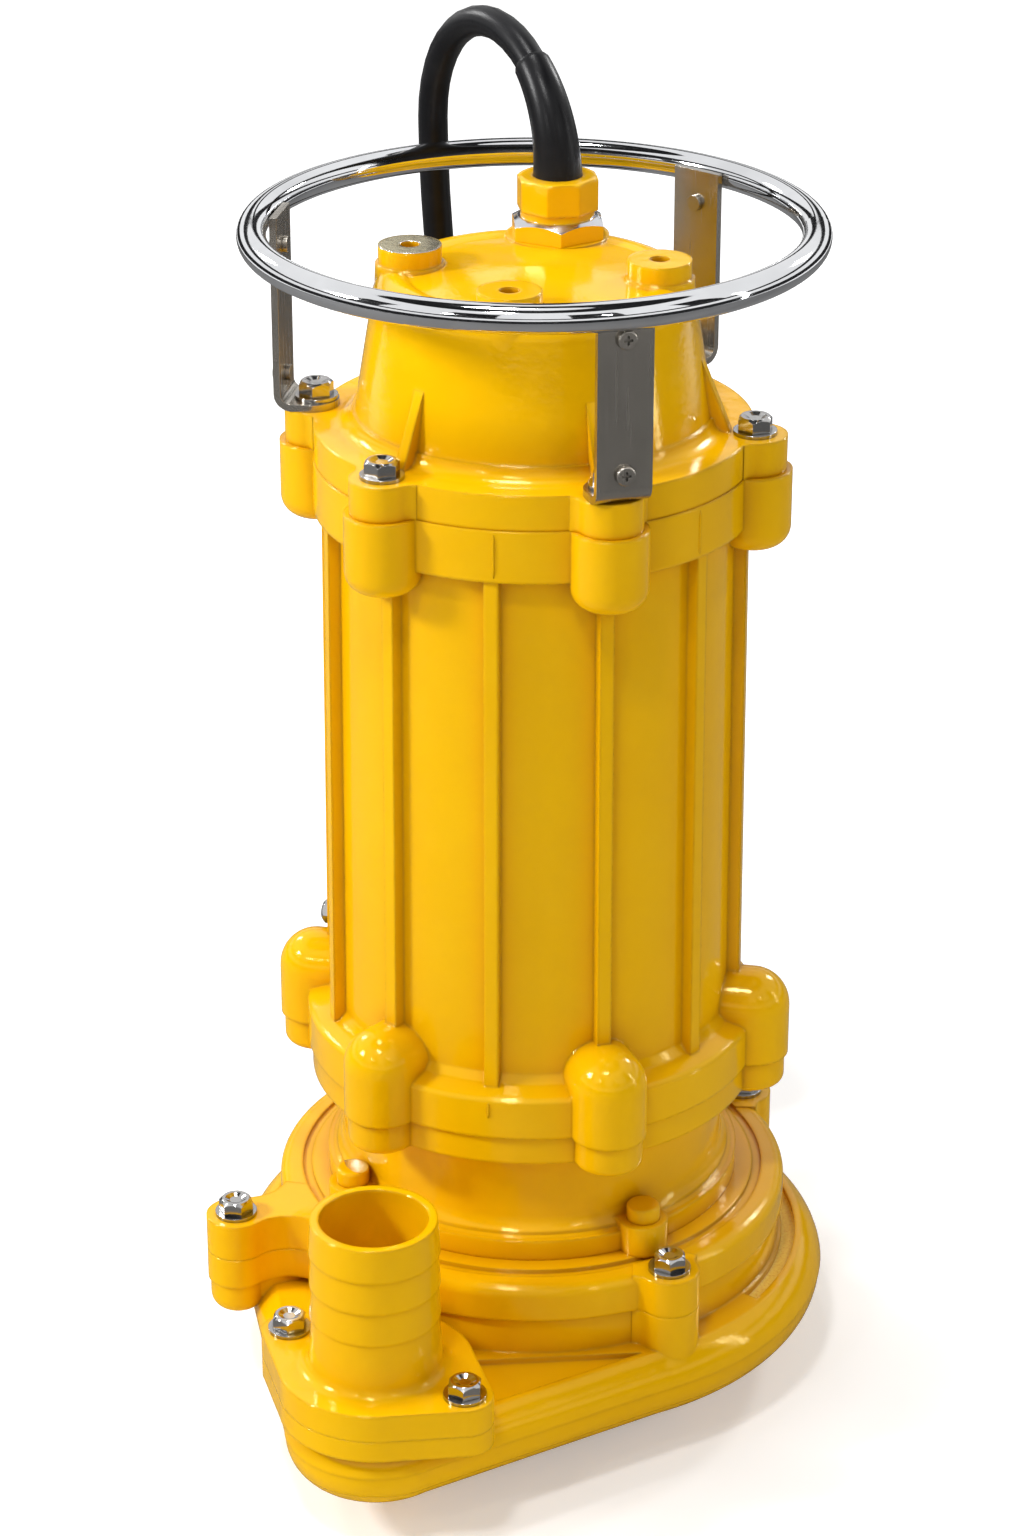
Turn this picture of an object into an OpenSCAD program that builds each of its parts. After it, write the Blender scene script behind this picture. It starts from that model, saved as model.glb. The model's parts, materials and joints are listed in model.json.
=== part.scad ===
/* [Suction base] */
// Height of the feet under the suction plate
foot_h = 14; // [10:1:24]
// Number of feet
foot_n = 4; // [3:1:6]
// Radius of the circle that the feet stand on
foot_pcr = 84; // [78:1:88]
// Radius of one foot
foot_r = 10; // [7:0.5:11]
// Thickness of the suction plate's flange
plate_t = 6; // [5:0.5:9]
// Radius of the suction plate
plate_r = 96; // [95:0.5:99]
// Radius of the suction inlet
inlet_r = 34; // [30:0.5:36]
// Radius of the spigot that centres the suction plate in the casing
plate_spigot_r = 58; // [52:0.5:60]
// Number of cutting notches round the inlet
notch_n = 6; // [4:1:10]
// Radius of one cutting notch
notch_r = 4; // [3:0.25:5]
// Number of screws in the suction plate
plate_screw_n = 4; // [4:1:4]

/* [Volute casing] */
// Radius of the round belly
belly_r = 130; // [126:0.5:134]
// Height of the belly's shoulder over its underside
shoulder_h = 34; // [32:0.5:38]
// Height of the mould parting line over the underside
parting_h = 20; // [19:0.5:24]
// Step between the two mould halves
parting_step = 0.5; // [0.3:0.1:1]
// Rounding of the belly's lower edge
base_round = 18; // [14:0.5:18.5]
// How far the shoulder's edge lies inside the belly
belly_inset = 9; // [6:0.5:12]
// Rounding between the shoulder and the parting line
belly_round = 20; // [16:0.5:30]
// Outer radius of the collar that carries the cover
collar_r = 110; // [108:0.5:112]
// Height of the collar over the shoulder
collar_h = 17; // [14:0.5:22]
// Radius of the casing's bore
casing_bore_r = 100; // [98:0.5:102]
// Thickness of the casing's floor and roof
casing_wall = 8; // [6:0.5:9]
// Depth of the cast recess on the shoulder
recess_d = 2.5; // [1.5:0.25:4]

/* [Discharge] */
// Sideways place of the discharge
outlet_x = -64.5; // [-68:0.5:-62]
// Forward place of the discharge
outlet_y = -144.5; // [-150:0.5:-142]
// Outer radius of the discharge elbow
elbow_r = 39; // [37:0.5:41]
// Angle of the line through the two flange bolts
flange_angle = -33.7; // [-38:0.1:-30]
// Distance of a flange bolt from the hose tail's axis
flange_bolt_d = 44.8; // [42:0.2:47]
// Radius of the flange's middle
flange_r = 41; // [39:0.5:43]
// Radius of the flange's two ears
flange_ear_r = 12; // [11:0.5:14]
// Thickness of the casing's discharge flange
seat_t = 9.6; // [8:0.2:12]
// Height of the discharge flange's face over the shoulder
seat_rise = 5.6; // [4:0.2:8]
// Thickness of the hose tail's flange
tail_flange_t = 12.4; // [10:0.2:15]
// Height of the hose tail over its flange
tail_h = 69; // [55:1:90]
// Outer radius at the hose tail's mouth
tail_r = 26.3; // [25.5:0.1:28]
// Radius of the hose tail's bore
tail_bore_r = 22.6; // [20:0.1:23.5]
// Height of one barb
barb_h = 14.8; // [11:0.2:16]
// How far a barb flares
barb_flare = 0.9; // [0.5:0.1:1.5]

/* [Volute cover] */
// Thickness of the volute cover
cover_t = 16.7; // [15:0.1:20]
// Radius of the volute cover
cover_r = 112; // [111:0.5:114]
// Rounding of the cover's rim
cover_round = 5; // [3:0.5:6]
// Radius of a bolt ear
ear_r = 13; // [12:0.5:14]
// Radius of the circle of the three near ears
ear_pcr = 112.7; // [111:0.1:115]
// Angle of the first near ear
ear_angle = 31.2; // [28:0.1:34]
// Radius at which the far ear stands
far_ear_pcr = 138.5; // [136:0.5:141]
// Angle of the far ear
far_ear_angle = -68.1; // [-71:0.1:-65]

/* [Oil chamber] */
// Height of the oil chamber
oil_h = 63.5; // [60:0.5:75]
// Radius of the oil chamber's neck
neck_r = 83.5; // [82:0.5:85]
// Radius of the foot ring
oil_foot_r = 88.5; // [87:0.5:90]
// Height of the foot ring
oil_foot_h = 10.5; // [9:0.5:13]
// Radius of the upper flange of the oil chamber
oil_flange_r = 96.5; // [95:0.5:98]
// Thickness of that flange
oil_flange_t = 12.5; // [11:0.5:15]
// Radius of the circle of the four foot screws
foot_screw_pcr = 91; // [90:0.5:93]
// Angle of the first foot screw
foot_screw_angle = 31.5; // [29:0.1:34]
// Radius of the oil reservoir
reservoir_r = 58; // [50:0.5:62]

/* [Motor frame] */
// Height of the motor frame
frame_h = 269; // [250:1:330]
// Radius of the body at its lower end
body_r_low = 86; // [85:0.1:87]
// Radius of the body at its upper end
body_r_top = 84.5; // [84:0.1:86]
// Number of cooling ribs, a multiple of the number of lugs
rib_n = 12; // [12:12:24]
// Width of a rib
rib_w = 6; // [4:0.5:8]
// How far a rib stands out of the body
rib_h = 5.2; // [4:0.1:6]
// Radius of the stator's bore in the frame
frame_bore_r = 78; // [76:0.5:79]
// Number of clamping lugs
lug_n = 6; // [6:1:6]
// Angle of the first lug
lug_angle = 19.2; // [16:0.1:22]
// Radius of the lower flange
low_flange_r = 98; // [97:0.5:100]
// Thickness of the lower flange
low_flange_t = 18.6; // [16:0.2:22]
// Radius of the circle of the lower lugs
low_lug_pcr = 97; // [95:0.5:98]
// Radius of a lower lug and of its dome
low_lug_r = 16; // [15:0.5:17]
// Height of a dome's centre over the lower face
dome_h = 22.8; // [20:0.2:26]
// Radius of the upper flange
top_flange_r = 91; // [90:0.5:92]
// Thickness of the upper flange
top_flange_t = 22; // [19:0.5:25]
// Radius of an upper lug
top_lug_r = 15.8; // [15:0.1:16.5]
// Angle of the earth terminal on the body
earth_angle = -109; // [-116:0.5:-108]
// Height of the earth terminal over the frame's lower face
earth_z = 42; // [40:1:80]
// How far the earth terminal's pad stands out of the body
earth_reach = 6; // [5:0.5:9]
// Radius of the earth screw
earth_r = 3; // [2:0.25:3]
// How far an upper lug hangs below its flange
top_lug_drop = 11.3; // [9:0.1:14]
// Rounding under an upper lug
top_lug_round = 9; // [7:0.5:10]

/* [Top cover] */
// Radius of the top cover's flange
cap_flange_r = 90.5; // [89:0.5:91]
// Thickness of the top cover's flange
cap_flange_t = 14.7; // [12:0.1:18]
// Radius of the circle of the top cover's lugs
cap_lug_pcr = 91.5; // [90.5:0.1:92]
// Radius of a lug on the top cover
cap_lug_r = 13.4; // [12.5:0.1:14]
// Radius of the cone at its foot
cone_r_low = 74.5; // [73:0.1:76]
// Radius of the cone at its upper end
cone_r_top = 65.6; // [64:0.1:67]
// Height of the cone over the flange
cone_h = 54; // [50:0.5:58]
// Rounding at the cone's foot
cone_foot_round = 6; // [4:0.5:8]
// Rounding at the cone's upper edge
crown_round = 10; // [8:0.5:12]
// Height of the crown's middle over the flange
crown_h = 66; // [65:0.5:70]
// Wall of the top cover
cap_wall = 6; // [5:0.5:8]
// Width of a gusset
gusset_w = 5; // [4:0.5:7]
// Height of a gusset
gusset_h = 30; // [24:1:36]
// Radius of the circle of the four bosses
boss_pcr = 51.3; // [50:0.1:53]
// Radius of a boss cap
boss_cap_r = 13; // [12:0.1:14]
// Radius of a boss pillar at the top
pillar_r = 14.2; // [13.5:0.1:15]
// Radius of a boss pillar at its foot
pillar_foot_r = 17; // [16:0.5:19]
// Height of a boss over the flange
boss_h = 71; // [70:0.5:74]
// Height of a boss cap
boss_cap_h = 7.4; // [6:0.1:9]
// Length of the thread in a boss
boss_thread_l = 10; // [8:0.5:12]
// Angle of the boss that the gland stands on
gland_angle = 169.2; // [166:0.1:172]
// Height of the gland's pad over the flange
pad_h = 63.2; // [62:0.1:65]
// Radius of the gland's pad
pad_r = 21.5; // [21:0.5:22.5]

/* [Handle] */
// Radius of the handle ring's centre line
ring_r = 113.6; // [112:0.1:116]
// Radius of the handle ring's tube
ring_tube_r = 6; // [5:0.25:7]
// Height of the ring's centre over the lugs
ring_h = 80; // [74:1:100]
// Number of brackets, a divisor of the number of lugs
bracket_n = 3; // [3:3:6]
// Width of a bracket strap
strap_w = 23; // [20:0.5:25]
// Thickness of a bracket strap
strap_t = 3; // [2.5:0.1:4]
// Inner bend radius of a bracket
bend_r = 4; // [3:0.25:4]
// Radius of a strap screw's head
strap_screw_head_r = 4; // [3.5:0.1:4.5]

/* [Fasteners] */
// Radius of a bolt's shank
bolt_r = 4; // [3.5:0.1:4.2]
// Width across the flats of a bolt head
bolt_af = 13; // [12.5:0.1:14]
// Height of a bolt head
bolt_head_h = 6; // [5:0.1:7]
// Radius of a washer
washer_r = 9; // [8:0.1:9]
// Thickness of a washer
washer_t = 1.6; // [1.2:0.1:2.4]
// Radius of a painted cap screw's head
cap_head_r = 7.2; // [6.5:0.1:7.5]
// Height of a painted cap screw's head
cap_head_h = 7; // [6:0.1:8]
// Radius of a strap screw's shank
strap_screw_r = 2; // [1.8:0.1:2.4]

/* [Gland] */
// Width across the flats of the gland body's hexagon
gland_af = 36.5; // [35:0.5:37]
// Height of that hexagon
gland_hex_h = 8.2; // [7:0.1:10]
// Height of the round collar over it
gland_collar_h = 3; // [2:0.1:4]
// Width across the flats of the gland nut
nut_af = 32; // [31:0.1:33]
// Height of the gland nut
nut_h = 13.8; // [12:0.1:17]
// Radius of the gland's thread
gland_thread_r = 12; // [11.5:0.1:12.5]
// Radius of the rubber sleeve at the nut
sleeve_r = 10.2; // [9.8:0.1:10.8]

/* [Cable] */
// Diameter of the cable
cable_d = 13; // [12:0.5:14]
// Turns side by side in the coil
coil_wide = 4; // [3:1:5]
// Turns one above the other in the coil
coil_high = 4; // [3:1:5]
// Radius of the coil's inner turn
coil_inner_r = 52; // [52:1:56]
// Thickness of a cable tie
tie_t = 1; // [0.8:0.1:1.6]
// Width of a cable tie
tie_w = 5; // [3.5:0.5:8]

/* [Shaft line] */
// Radius of the shaft in the impeller
shaft_end_r = 8; // [7.5:0.5:9]
// Radius of the shaft in the seals
seal_shaft_r = 11; // [10.5:0.5:11.5]
// Radius of the shaft in the lower bearing
low_journal_r = 12.5; // [12.5:0.5:12.5]
// Radius of the shaft between the bearings
shaft_r = 15; // [14:0.5:15.5]
// Radius of the shaft in the rotor core
core_seat_r = 17.5; // [17:0.5:19]
// Radius of the shaft in the upper bearing
top_journal_r = 10; // [9.5:0.5:10.5]
// Outer radius of the lower bearing
low_bearing_r = 31; // [31:0.5:31.5]
// Width of the lower bearing
low_bearing_w = 17; // [16:0.5:17]
// Outer radius of the upper bearing
top_bearing_r = 23.5; // [23.5:0.5:24]
// Width of the upper bearing
top_bearing_w = 14; // [13:0.5:15]
// Balls in each bearing
ball_n = 8; // [7:1:8]
// Radius of the rotor core
rotor_r = 42; // [40:0.5:43]
// Gap between the rotor and the stator
air_gap = 0.5; // [0.4:0.05:0.8]
// Length of the rotor core and the stator core
core_l = 150; // [130:1:160]
// Length of a winding end
winding_l = 30; // [24:1:34]
// Radius of the impeller
impeller_r = 70; // [64:0.5:74]
// Thickness of the impeller's back plate
shroud_t = 5; // [4:0.5:6]
// Height of the impeller's vanes
vane_h = 24; // [18:0.5:26]
// Thickness of a vane
vane_t = 6; // [4:0.5:8]
// Number of vanes
vane_n = 3; // [2:1:4]
// Number of cutter blades
blade_n = 3; // [2:1:4]
// Thickness of the cutter's blades
blade_t = 7; // [5:0.5:8]

/* [Clearances] */
// Radial clearance of a pressed or centred fit
fit = 0.05; // [0.02:0.01:0.08]
// Running gap between moving pieces
run_gap = 0.4; // [0.3:0.05:0.6]
// Gap round a bearing ball
ball_gap = 0.3; // [0.3:0.05:0.4]
// Axial gap at a seal face and beside a bearing ring
face_gap = 0.1; // [0.05:0.01:0.2]
// Radial clearance of a bolt in a plain hole
bolt_gap = 0.4; // [0.3:0.05:0.7]

/* [Hidden] */
$fn = 96;

// Colours
paint = [0.96, 0.74, 0.02];
bright_steel = [0.78, 0.78, 0.8];
dark_steel = [0.42, 0.42, 0.45];
cast_grey = [0.5, 0.5, 0.52];
rubber_black = [0.06, 0.06, 0.07];
copper = [0.75, 0.4, 0.2];

// How far a cut reaches past a face, and how deep joined shapes reach into each other
cut = 1;
bite = 1;

// Place and radius of the oil filler at the back
filler_angle = 165;
filler_r = 6;

// Heights of the faces where the castings meet
z_plate = foot_h;
z_base = z_plate + plate_t;
z_shoulder = z_base + shoulder_h;
z_seam = z_shoulder + collar_h;
z_cover = z_seam + cover_t;
z_oil = z_cover + oil_h;
z_filler = z_cover + oil_h / 2;
z_frame = z_oil + frame_h;
z_lug = z_frame + cap_flange_t;
z_pad = z_lug + pad_h;
z_nut = z_pad + gland_hex_h + gland_collar_h;
z_exit = z_nut + nut_h;
z_seat = z_shoulder + seat_rise;
z_tail = z_seat + tail_flange_t;
z_ring = z_lug + ring_h;

// Inner faces of the volute casing
z_floor = z_base + casing_wall;
z_roof = z_shoulder - casing_wall + 2;

// Spiral of the volute, from the tongue to the duct
spiral_r = belly_r - 11;
spiral_start = 191;
spiral_steps = 40;
tongue = 3;
duct_w = 47;
outlet_d = norm([outlet_x, outlet_y]);
outlet_dir = atan2(outlet_y, outlet_x);
wall_lean = asin((belly_r - elbow_r) / outlet_d);
front_normal = outlet_dir + 90 - wall_lean;
back_normal = outlet_dir - 90 + wall_lean;
wall_l = outlet_d * cos(wall_lean);
elbow_bore_r = tail_bore_r + 3;
wall_in = 0.3;

// Spigots and the O-rings round them
o_ring_r = 1.45;
o_ring_gap = 0.1;
groove_w = 3.4;
cover_spigot_h = 6;
oil_spigot_h = 8;
oil_spigot_r = frame_bore_r - fit;
foot_spigot_r = reservoir_r - fit;
foot_spigot_h = 6;
cap_seat_d = 20;
cap_bore_r = frame_bore_r + 2;
bracket_t = 10;
cap_spigot_r = cap_bore_r - fit;
cap_spigot_h = cap_seat_d - bracket_t;
cap_spigot_in = cap_bore_r - 8;

// Bolted joints
clear_r = bolt_r + bolt_gap;
tapped_r = bolt_r + fit;
drill_tip_h = 2.2;
drill_tip_r = 0.4;
cap_tap_l = 24;
ear_tap_l = 20;
low_tap_l = 20;
flange_tap_l = 11;
foot_tap_l = 11;

// Rounds between a lug or an ear and its flange
cap_web = 7;
ear_web = 8;
far_ear_web = 18;
foot_web = 5;
ear_drop = 9;
far_ear_rise = 3;
far_post_h = 15;
far_post_round = 7;
flange_post_r = 7.5;
flange_post_h = 4.5;
flange_post_round = 2.5;

// Lengths of the bolts and screws, and their places
cover_bolt_l = cover_t + 16;
cap_bolt_l = cap_flange_t + 18;
flange_bolt_l = tail_flange_t + 8;
frame_screw_l = oil_flange_t + 14;
frame_head_r = 5.5;
frame_head_h = 4;
foot_lug_r = 10.5;
foot_lug_h = 14;
foot_screw_l = foot_lug_h + 8;
land_r = oil_foot_r + 9.5;
land_d = 1.8;
near_ears = [for (k = [0:2]) ear_angle + 90 * k];
lugs = [for (k = [0:lug_n - 1]) lug_angle + 360 / lug_n * k];
brackets = [for (k = [0:bracket_n - 1]) lug_angle + 360 / bracket_n * k];
free_lugs = [for (k = [0:lug_n - 1]) if (k % (lug_n / bracket_n) != 0) lugs[k]];
gusset_lugs = [for (a = lugs) if (a != brackets[bracket_n - 1]) a];
foot_screws = [for (k = [0:3]) foot_screw_angle + 90 * k];
plain_bosses = [for (k = [1:3]) gland_angle + 90 * k];
feet = [for (k = [0:foot_n - 1]) 45 + 360 / foot_n * k];
plate_screws = [for (k = [0:plate_screw_n - 1]) 360 / plate_screw_n * k];
plate_screw_pcr = (plate_spigot_r + plate_r) / 2;
plate_screw_l = plate_t + casing_wall - 2;

// Bearings
low_bearing_z = z_oil - low_bearing_w;
low_inner_r = low_journal_r + (low_bearing_r - low_journal_r) * 0.28;
low_outer_r = low_bearing_r - (low_bearing_r - low_journal_r) * 0.28;
low_pitch_r = (low_journal_r + low_bearing_r) / 2;
low_ball_r = (low_bearing_r - low_journal_r) * 0.3;
top_bearing_z = z_frame;
top_inner_r = top_journal_r + (top_bearing_r - top_journal_r) * 0.28;
top_outer_r = top_bearing_r - (top_bearing_r - top_journal_r) * 0.28;
top_pitch_r = (top_journal_r + top_bearing_r) / 2;
top_ball_r = (top_bearing_r - top_journal_r) * 0.3;
cage_w = 2;
cage_h = 5;
wave_t = 1.5;

// Seals
seal_top_z = low_bearing_z - 12;
seal_ring_w = 8;
seat_depth = 8;
seat_r = 18;
seal_bore_r = 17;
seal_head_z = z_cover + foot_spigot_h + face_gap;
seal_head_h = seal_top_z - seal_ring_w - seal_head_z - 1;

// Rotor
core_z = z_oil + (frame_h - cap_seat_d - core_l) / 2;
end_ring_h = 8;
impeller_z = z_floor + run_gap;
hub_r = 17;
vane_in = 1;
impeller_top = impeller_z + vane_h + shroud_t;
hub_top = impeller_top + 5;
key_w = 5;
key_t = 4.3;
key_out = 2.2;
key_l = 18;
cutter_z = z_plate + 2;
cutter_r = inlet_r - run_gap;
screw_head_h = 6;
screw_head_r = 11;
shaft_top = top_bearing_z + top_bearing_w + 3;

// Gland and sleeve
gland_at = [boss_pcr * sin(gland_angle), -boss_pcr * cos(gland_angle)];
gland_hex_turn = 34;
gland_bevel_h = 3.2;
gland_bevel_in = 1.6;
nut_sides = 8;
nut_turn = 31;
seal_ring_h = 6;
sleeve_tip_r = cable_d / 2 + 1.2;
sleeve_rings = 8;

// Route of the cable from the gland's nut over its loop and down to the coil
exit_point = [gland_at[0], gland_at[1], z_exit];
loop_r = 52;
loop_dir = 121;
loop_steps = 6;
sleeve_turn = 54;
hang_at = [-38, 138];
hang_top = 400;
hang_foot = 185;
hang_pull = [50, 40, 95, 100];
leg_steps = [8, 12];

// Coil of the cable behind the pump
coil_at = [0, 240];
coil_low_r = coil_inner_r - cable_d / 2;
coil_top_r = coil_inner_r + (coil_wide - 0.5) * cable_d;
coil_h = coil_high * cable_d;
coil_edge = 5;
tie_angles = [0, 240];
wound_r = coil_top_r - cable_d / 2;
entry = [coil_at[0] - wound_r, coil_at[1], tie_t + (coil_high - 0.5) * cable_d];
tail_from = 135;
tail_turn = 90;
tail_out = 14;
tail_steps = 12;
core_n = 3;
core_pcr = 2.6;
core_r = 1.6;
core_l_out = 34;

// A place at an angle from the front, a radius and a height
module at(phi, r, z = 0) {
    translate([r * sin(phi), -r * cos(phi), z]) children();
}

// The same place for a piece that is turned to face outwards
module facing(phi, r, z = 0) {
    rotate([0, 0, phi]) translate([0, -r, z]) children();
}

// A pipe that stands on z = 0
module pipe(ro, ri, h) {
    difference() {
        cylinder(r = ro, h = h);
        translate([0, 0, -cut]) cylinder(r = ri, h = h + 2 * cut);
    }
}

// A post with a rounded lower edge
module round_post(r, h, f) {
    rotate_extrude() {
        square([r - f, h]);
        translate([0, f]) square([r, h - f]);
        intersection() {
            translate([r - f, f]) circle(f);
            square([r + cut, f + bite / 10]);
        }
    }
}

// A lug on a round flange, blended by a hollow fillet on each side
module lobe(phi, ring, pcr, r, f, h) {
    turn = acos((pow(ring + f, 2) + pow(pcr, 2) - pow(r + f, 2)) / (2 * (ring + f) * pcr));
    sides = [for (a = [phi - turn, phi + turn]) (ring + f) * [sin(a), -cos(a)]];
    ahead = [sin(phi), -cos(phi)];
    at(phi, pcr) cylinder(r = r, h = h);
    difference() {
        linear_extrude(h) polygon([(ring - 2 * r) * ahead, sides[0], pcr * ahead, sides[1]]);
        for (c = sides) translate([c[0], c[1], -cut]) cylinder(r = f + fit, h = h + 2 * cut);
    }
}

// The outline of a two-bolt flange
module flange_plate(h) {
    lean = acos((flange_r - flange_ear_r) / flange_bolt_d);
    mid = (flange_r - 2 * fit) * [cos(lean), sin(lean)];
    end = [flange_bolt_d, 0] + (flange_ear_r - 2 * fit) * [cos(lean), sin(lean)];
    rotate([0, 0, flange_angle]) {
        cylinder(r = flange_r, h = h);
        for (s = [-1, 1]) translate([s * flange_bolt_d, 0, 0]) cylinder(r = flange_ear_r, h = h);
        linear_extrude(h) polygon([
            mid, end, [end[0], -end[1]], [mid[0], -mid[1]],
            -mid, -end, [-end[0], end[1]], [-mid[0], mid[1]]
        ]);
    }
}

// The places of the two bolts in the discharge flange
module at_flange_bolts(z) {
    for (s = [-1, 1]) {
        translate([outlet_x, outlet_y, z]) rotate([0, 0, flange_angle]) {
            translate([s * flange_bolt_d, 0, 0]) children();
        }
    }
}

// A hexagon head with chamfered corners and a dished top, on z = 0
module hex_head(af, h) {
    corner = af / 2 / cos(30);
    difference() {
        intersection() {
            cylinder(r = corner, h = h, $fn = 6);
            rotate_extrude() polygon([
                [0, 0], [corner + cut, 0], [corner, h - 1.5], [corner - 1.6, h], [0, h]
            ]);
        }
        translate([0, 0, h - 1]) cylinder(r1 = af * 0.2, r2 = af * 0.36, h = 1 + cut / 100);
    }
}

// A hexagon bolt whose head stands on z = 0
module hex_bolt(shank) {
    hex_head(bolt_af, bolt_head_h);
    translate([0, 0, -shank]) cylinder(r = bolt_r, h = shank + bite);
}

// A round cap screw whose head stands on z = 0
module cap_screw(r, head_r, head_h, shank) {
    edge = 1.2;
    rotate_extrude() {
        square([head_r, head_h - edge]);
        square([head_r - edge, head_h]);
        translate([head_r - edge, head_h - edge]) circle(edge);
    }
    translate([0, 0, -shank]) cylinder(r = r, h = shank + bite);
}

// A groove for an O-ring round a spigot of radius r
module o_groove(r, z) {
    deep = 2 * o_ring_r + o_ring_gap;
    translate([0, 0, z - groove_w / 2]) pipe(r + cut, r - deep, groove_w);
}

// The O-ring that lies in that groove
module o_ring(r, z) {
    translate([0, 0, z]) rotate_extrude() translate([r - o_ring_r - o_ring_gap / 2, 0]) {
        circle(o_ring_r);
    }
}

// The belly's section: rounded foot, mould line, sloping shoulder
function arc_middle(p, q, r) =
    let (d = q - p, l = norm(d))
    (p + q) / 2 + sqrt(r * r - l * l / 4) / l * [d[1], -d[0]];

module belly_section(r) {
    low = r - parting_step;
    edge = [r - belly_inset, shoulder_h];
    mould = [r, parting_h];
    high = shoulder_h + bite;
    square([low - base_round, high]);
    translate([0, base_round]) square([low, parting_h - base_round]);
    intersection() {
        translate([low - base_round, base_round]) circle(base_round);
        square([r, base_round + bite / 10]);
    }
    translate([0, parting_h]) square([edge[0] - 2 * bite, high - parting_h]);
    intersection() {
        translate(arc_middle(edge, mould, belly_round)) circle(belly_round);
        translate([edge[0] - 3 * bite, parting_h]) square([belly_inset + 4 * bite, high - parting_h]);
    }
}

// A straight wall of the belly, a hair inside the line that touches both round ends and a hair higher
module belly_wall(normal, shift) {
    inner = belly_r - base_round - 2 * bite;
    rotate([0, 0, normal]) translate([-wall_in, shift, fit]) rotate([90, 0, 0]) linear_extrude(wall_l) {
        intersection() {
            belly_section(belly_r);
            translate([inner, -cut]) square([belly_r - inner + cut, shoulder_h + 3 * cut]);
        }
    }
}

// The belly: two round ends, the two walls between them and the middle, cut level at the shoulder
module belly() {
    sides = [for (n = [front_normal, back_normal]) [cos(n), sin(n)]];
    outlet = [outlet_x, outlet_y];
    big = belly_r - base_round - bite;
    small = elbow_r - base_round - bite;
    translate([0, 0, z_base]) difference() {
        union() {
            rotate_extrude() belly_section(belly_r);
            translate([outlet_x, outlet_y, 0]) rotate_extrude() belly_section(elbow_r);
            belly_wall(front_normal, 0);
            belly_wall(back_normal, wall_l);
            linear_extrude(shoulder_h + bite) polygon([
                big * sides[0], outlet + small * sides[0], outlet + small * sides[1], big * sides[1]
            ]);
        }
        translate([-2 * belly_r, -2 * belly_r, shoulder_h]) cube([4 * belly_r, 4 * belly_r, 3 * bite]);
    }
}

// The spiral water way
module volute_cavity() {
    h = z_roof - z_floor;
    span = spiral_start - front_normal;
    translate([0, 0, z_floor]) {
        cylinder(r = casing_bore_r, h = z_seam - z_floor + cut);
        first = (casing_bore_r - tongue) * [cos(spiral_start), sin(spiral_start)];
        linear_extrude(h) polygon(concat([first], [
            for (i = [0:spiral_steps])
            let (a = spiral_start - span * i / spiral_steps,
                 r = casing_bore_r + tongue + (spiral_r - casing_bore_r - tongue) * i / spiral_steps)
            r * [cos(a), sin(a)]
        ]));
        linear_extrude(h) rotate(front_normal) translate([spiral_r - duct_w, -wall_l]) {
            square([duct_w, wall_l + 4]);
        }
        translate([outlet_x, outlet_y, 0]) cylinder(r = elbow_bore_r, h = h);
        translate([outlet_x, outlet_y, 0]) cylinder(r = tail_bore_r, h = z_seat - z_floor + cut);
    }
}

// The shallow cast recess between the collar and the shoulder's edge
module shoulder_recess() {
    rim = belly_r - belly_inset - 3;
    foot = collar_r + 2;
    near = 0.12 * wall_l;
    far = 0.72 * wall_l;
    corner = [foot - 25, -0.62 * wall_l];
    arc_start = -34;
    arc = 214;
    translate([0, 0, z_shoulder - recess_d]) {
        difference() {
            rotate([0, 0, front_normal]) linear_extrude(recess_d + cut) {
                polygon([[rim, -near], [rim, -far], corner]);
            }
            translate([0, 0, -cut]) cylinder(r = foot, h = recess_d + 3 * cut);
        }
        rotate([0, 0, arc_start]) rotate_extrude(angle = arc) translate([foot, 0]) {
            square([rim - foot, recess_d + cut]);
        }
    }
}

module volute_casing() {
    color(paint) difference() {
        union() {
            difference() {
                belly();
                shoulder_recess();
            }
            translate([0, 0, z_shoulder - recess_d - bite]) {
                cylinder(r = collar_r, h = collar_h + recess_d + bite);
            }
            translate([0, 0, z_shoulder - ear_drop]) for (a = near_ears) {
                lobe(a, collar_r, ear_pcr, ear_r, ear_web, collar_h + ear_drop);
            }
            translate([0, 0, z_shoulder + far_ear_rise]) {
                lobe(far_ear_angle, collar_r, far_ear_pcr, ear_r, far_ear_web, collar_h - far_ear_rise);
            }
            at(far_ear_angle, far_ear_pcr, z_shoulder + far_ear_rise - far_post_h) {
                round_post(ear_r - 1, far_post_h + bite, far_post_round);
            }
            translate([0, 0, z_shoulder - 5]) linear_extrude(collar_h) rotate(far_ear_angle) {
                translate([-ear_r * 0.75, -far_ear_pcr]) square([ear_r * 1.5, 26]);
            }
            translate([outlet_x, outlet_y, z_seat - seat_t]) flange_plate(seat_t);
            at_flange_bolts(z_seat - seat_t - flange_post_h) {
                round_post(flange_post_r, flange_post_h + bite, flange_post_round);
            }
        }
        volute_cavity();
        translate([0, 0, z_base - cut]) cylinder(r = plate_spigot_r + fit, h = casing_wall + 2 * cut);
        for (a = near_ears) at(a, ear_pcr, z_seam - ear_tap_l) {
            cylinder(r = tapped_r, h = ear_tap_l + cut);
        }
        at(far_ear_angle, far_ear_pcr, z_seam - ear_tap_l) cylinder(r = tapped_r, h = ear_tap_l + cut);
        at_flange_bolts(z_seat - flange_tap_l) cylinder(r = tapped_r, h = flange_tap_l + cut);
        for (a = plate_screws) at(a, plate_screw_pcr, z_base - cut) {
            cylinder(r = tapped_r, h = casing_wall - 1 + cut);
        }
    }
}

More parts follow.
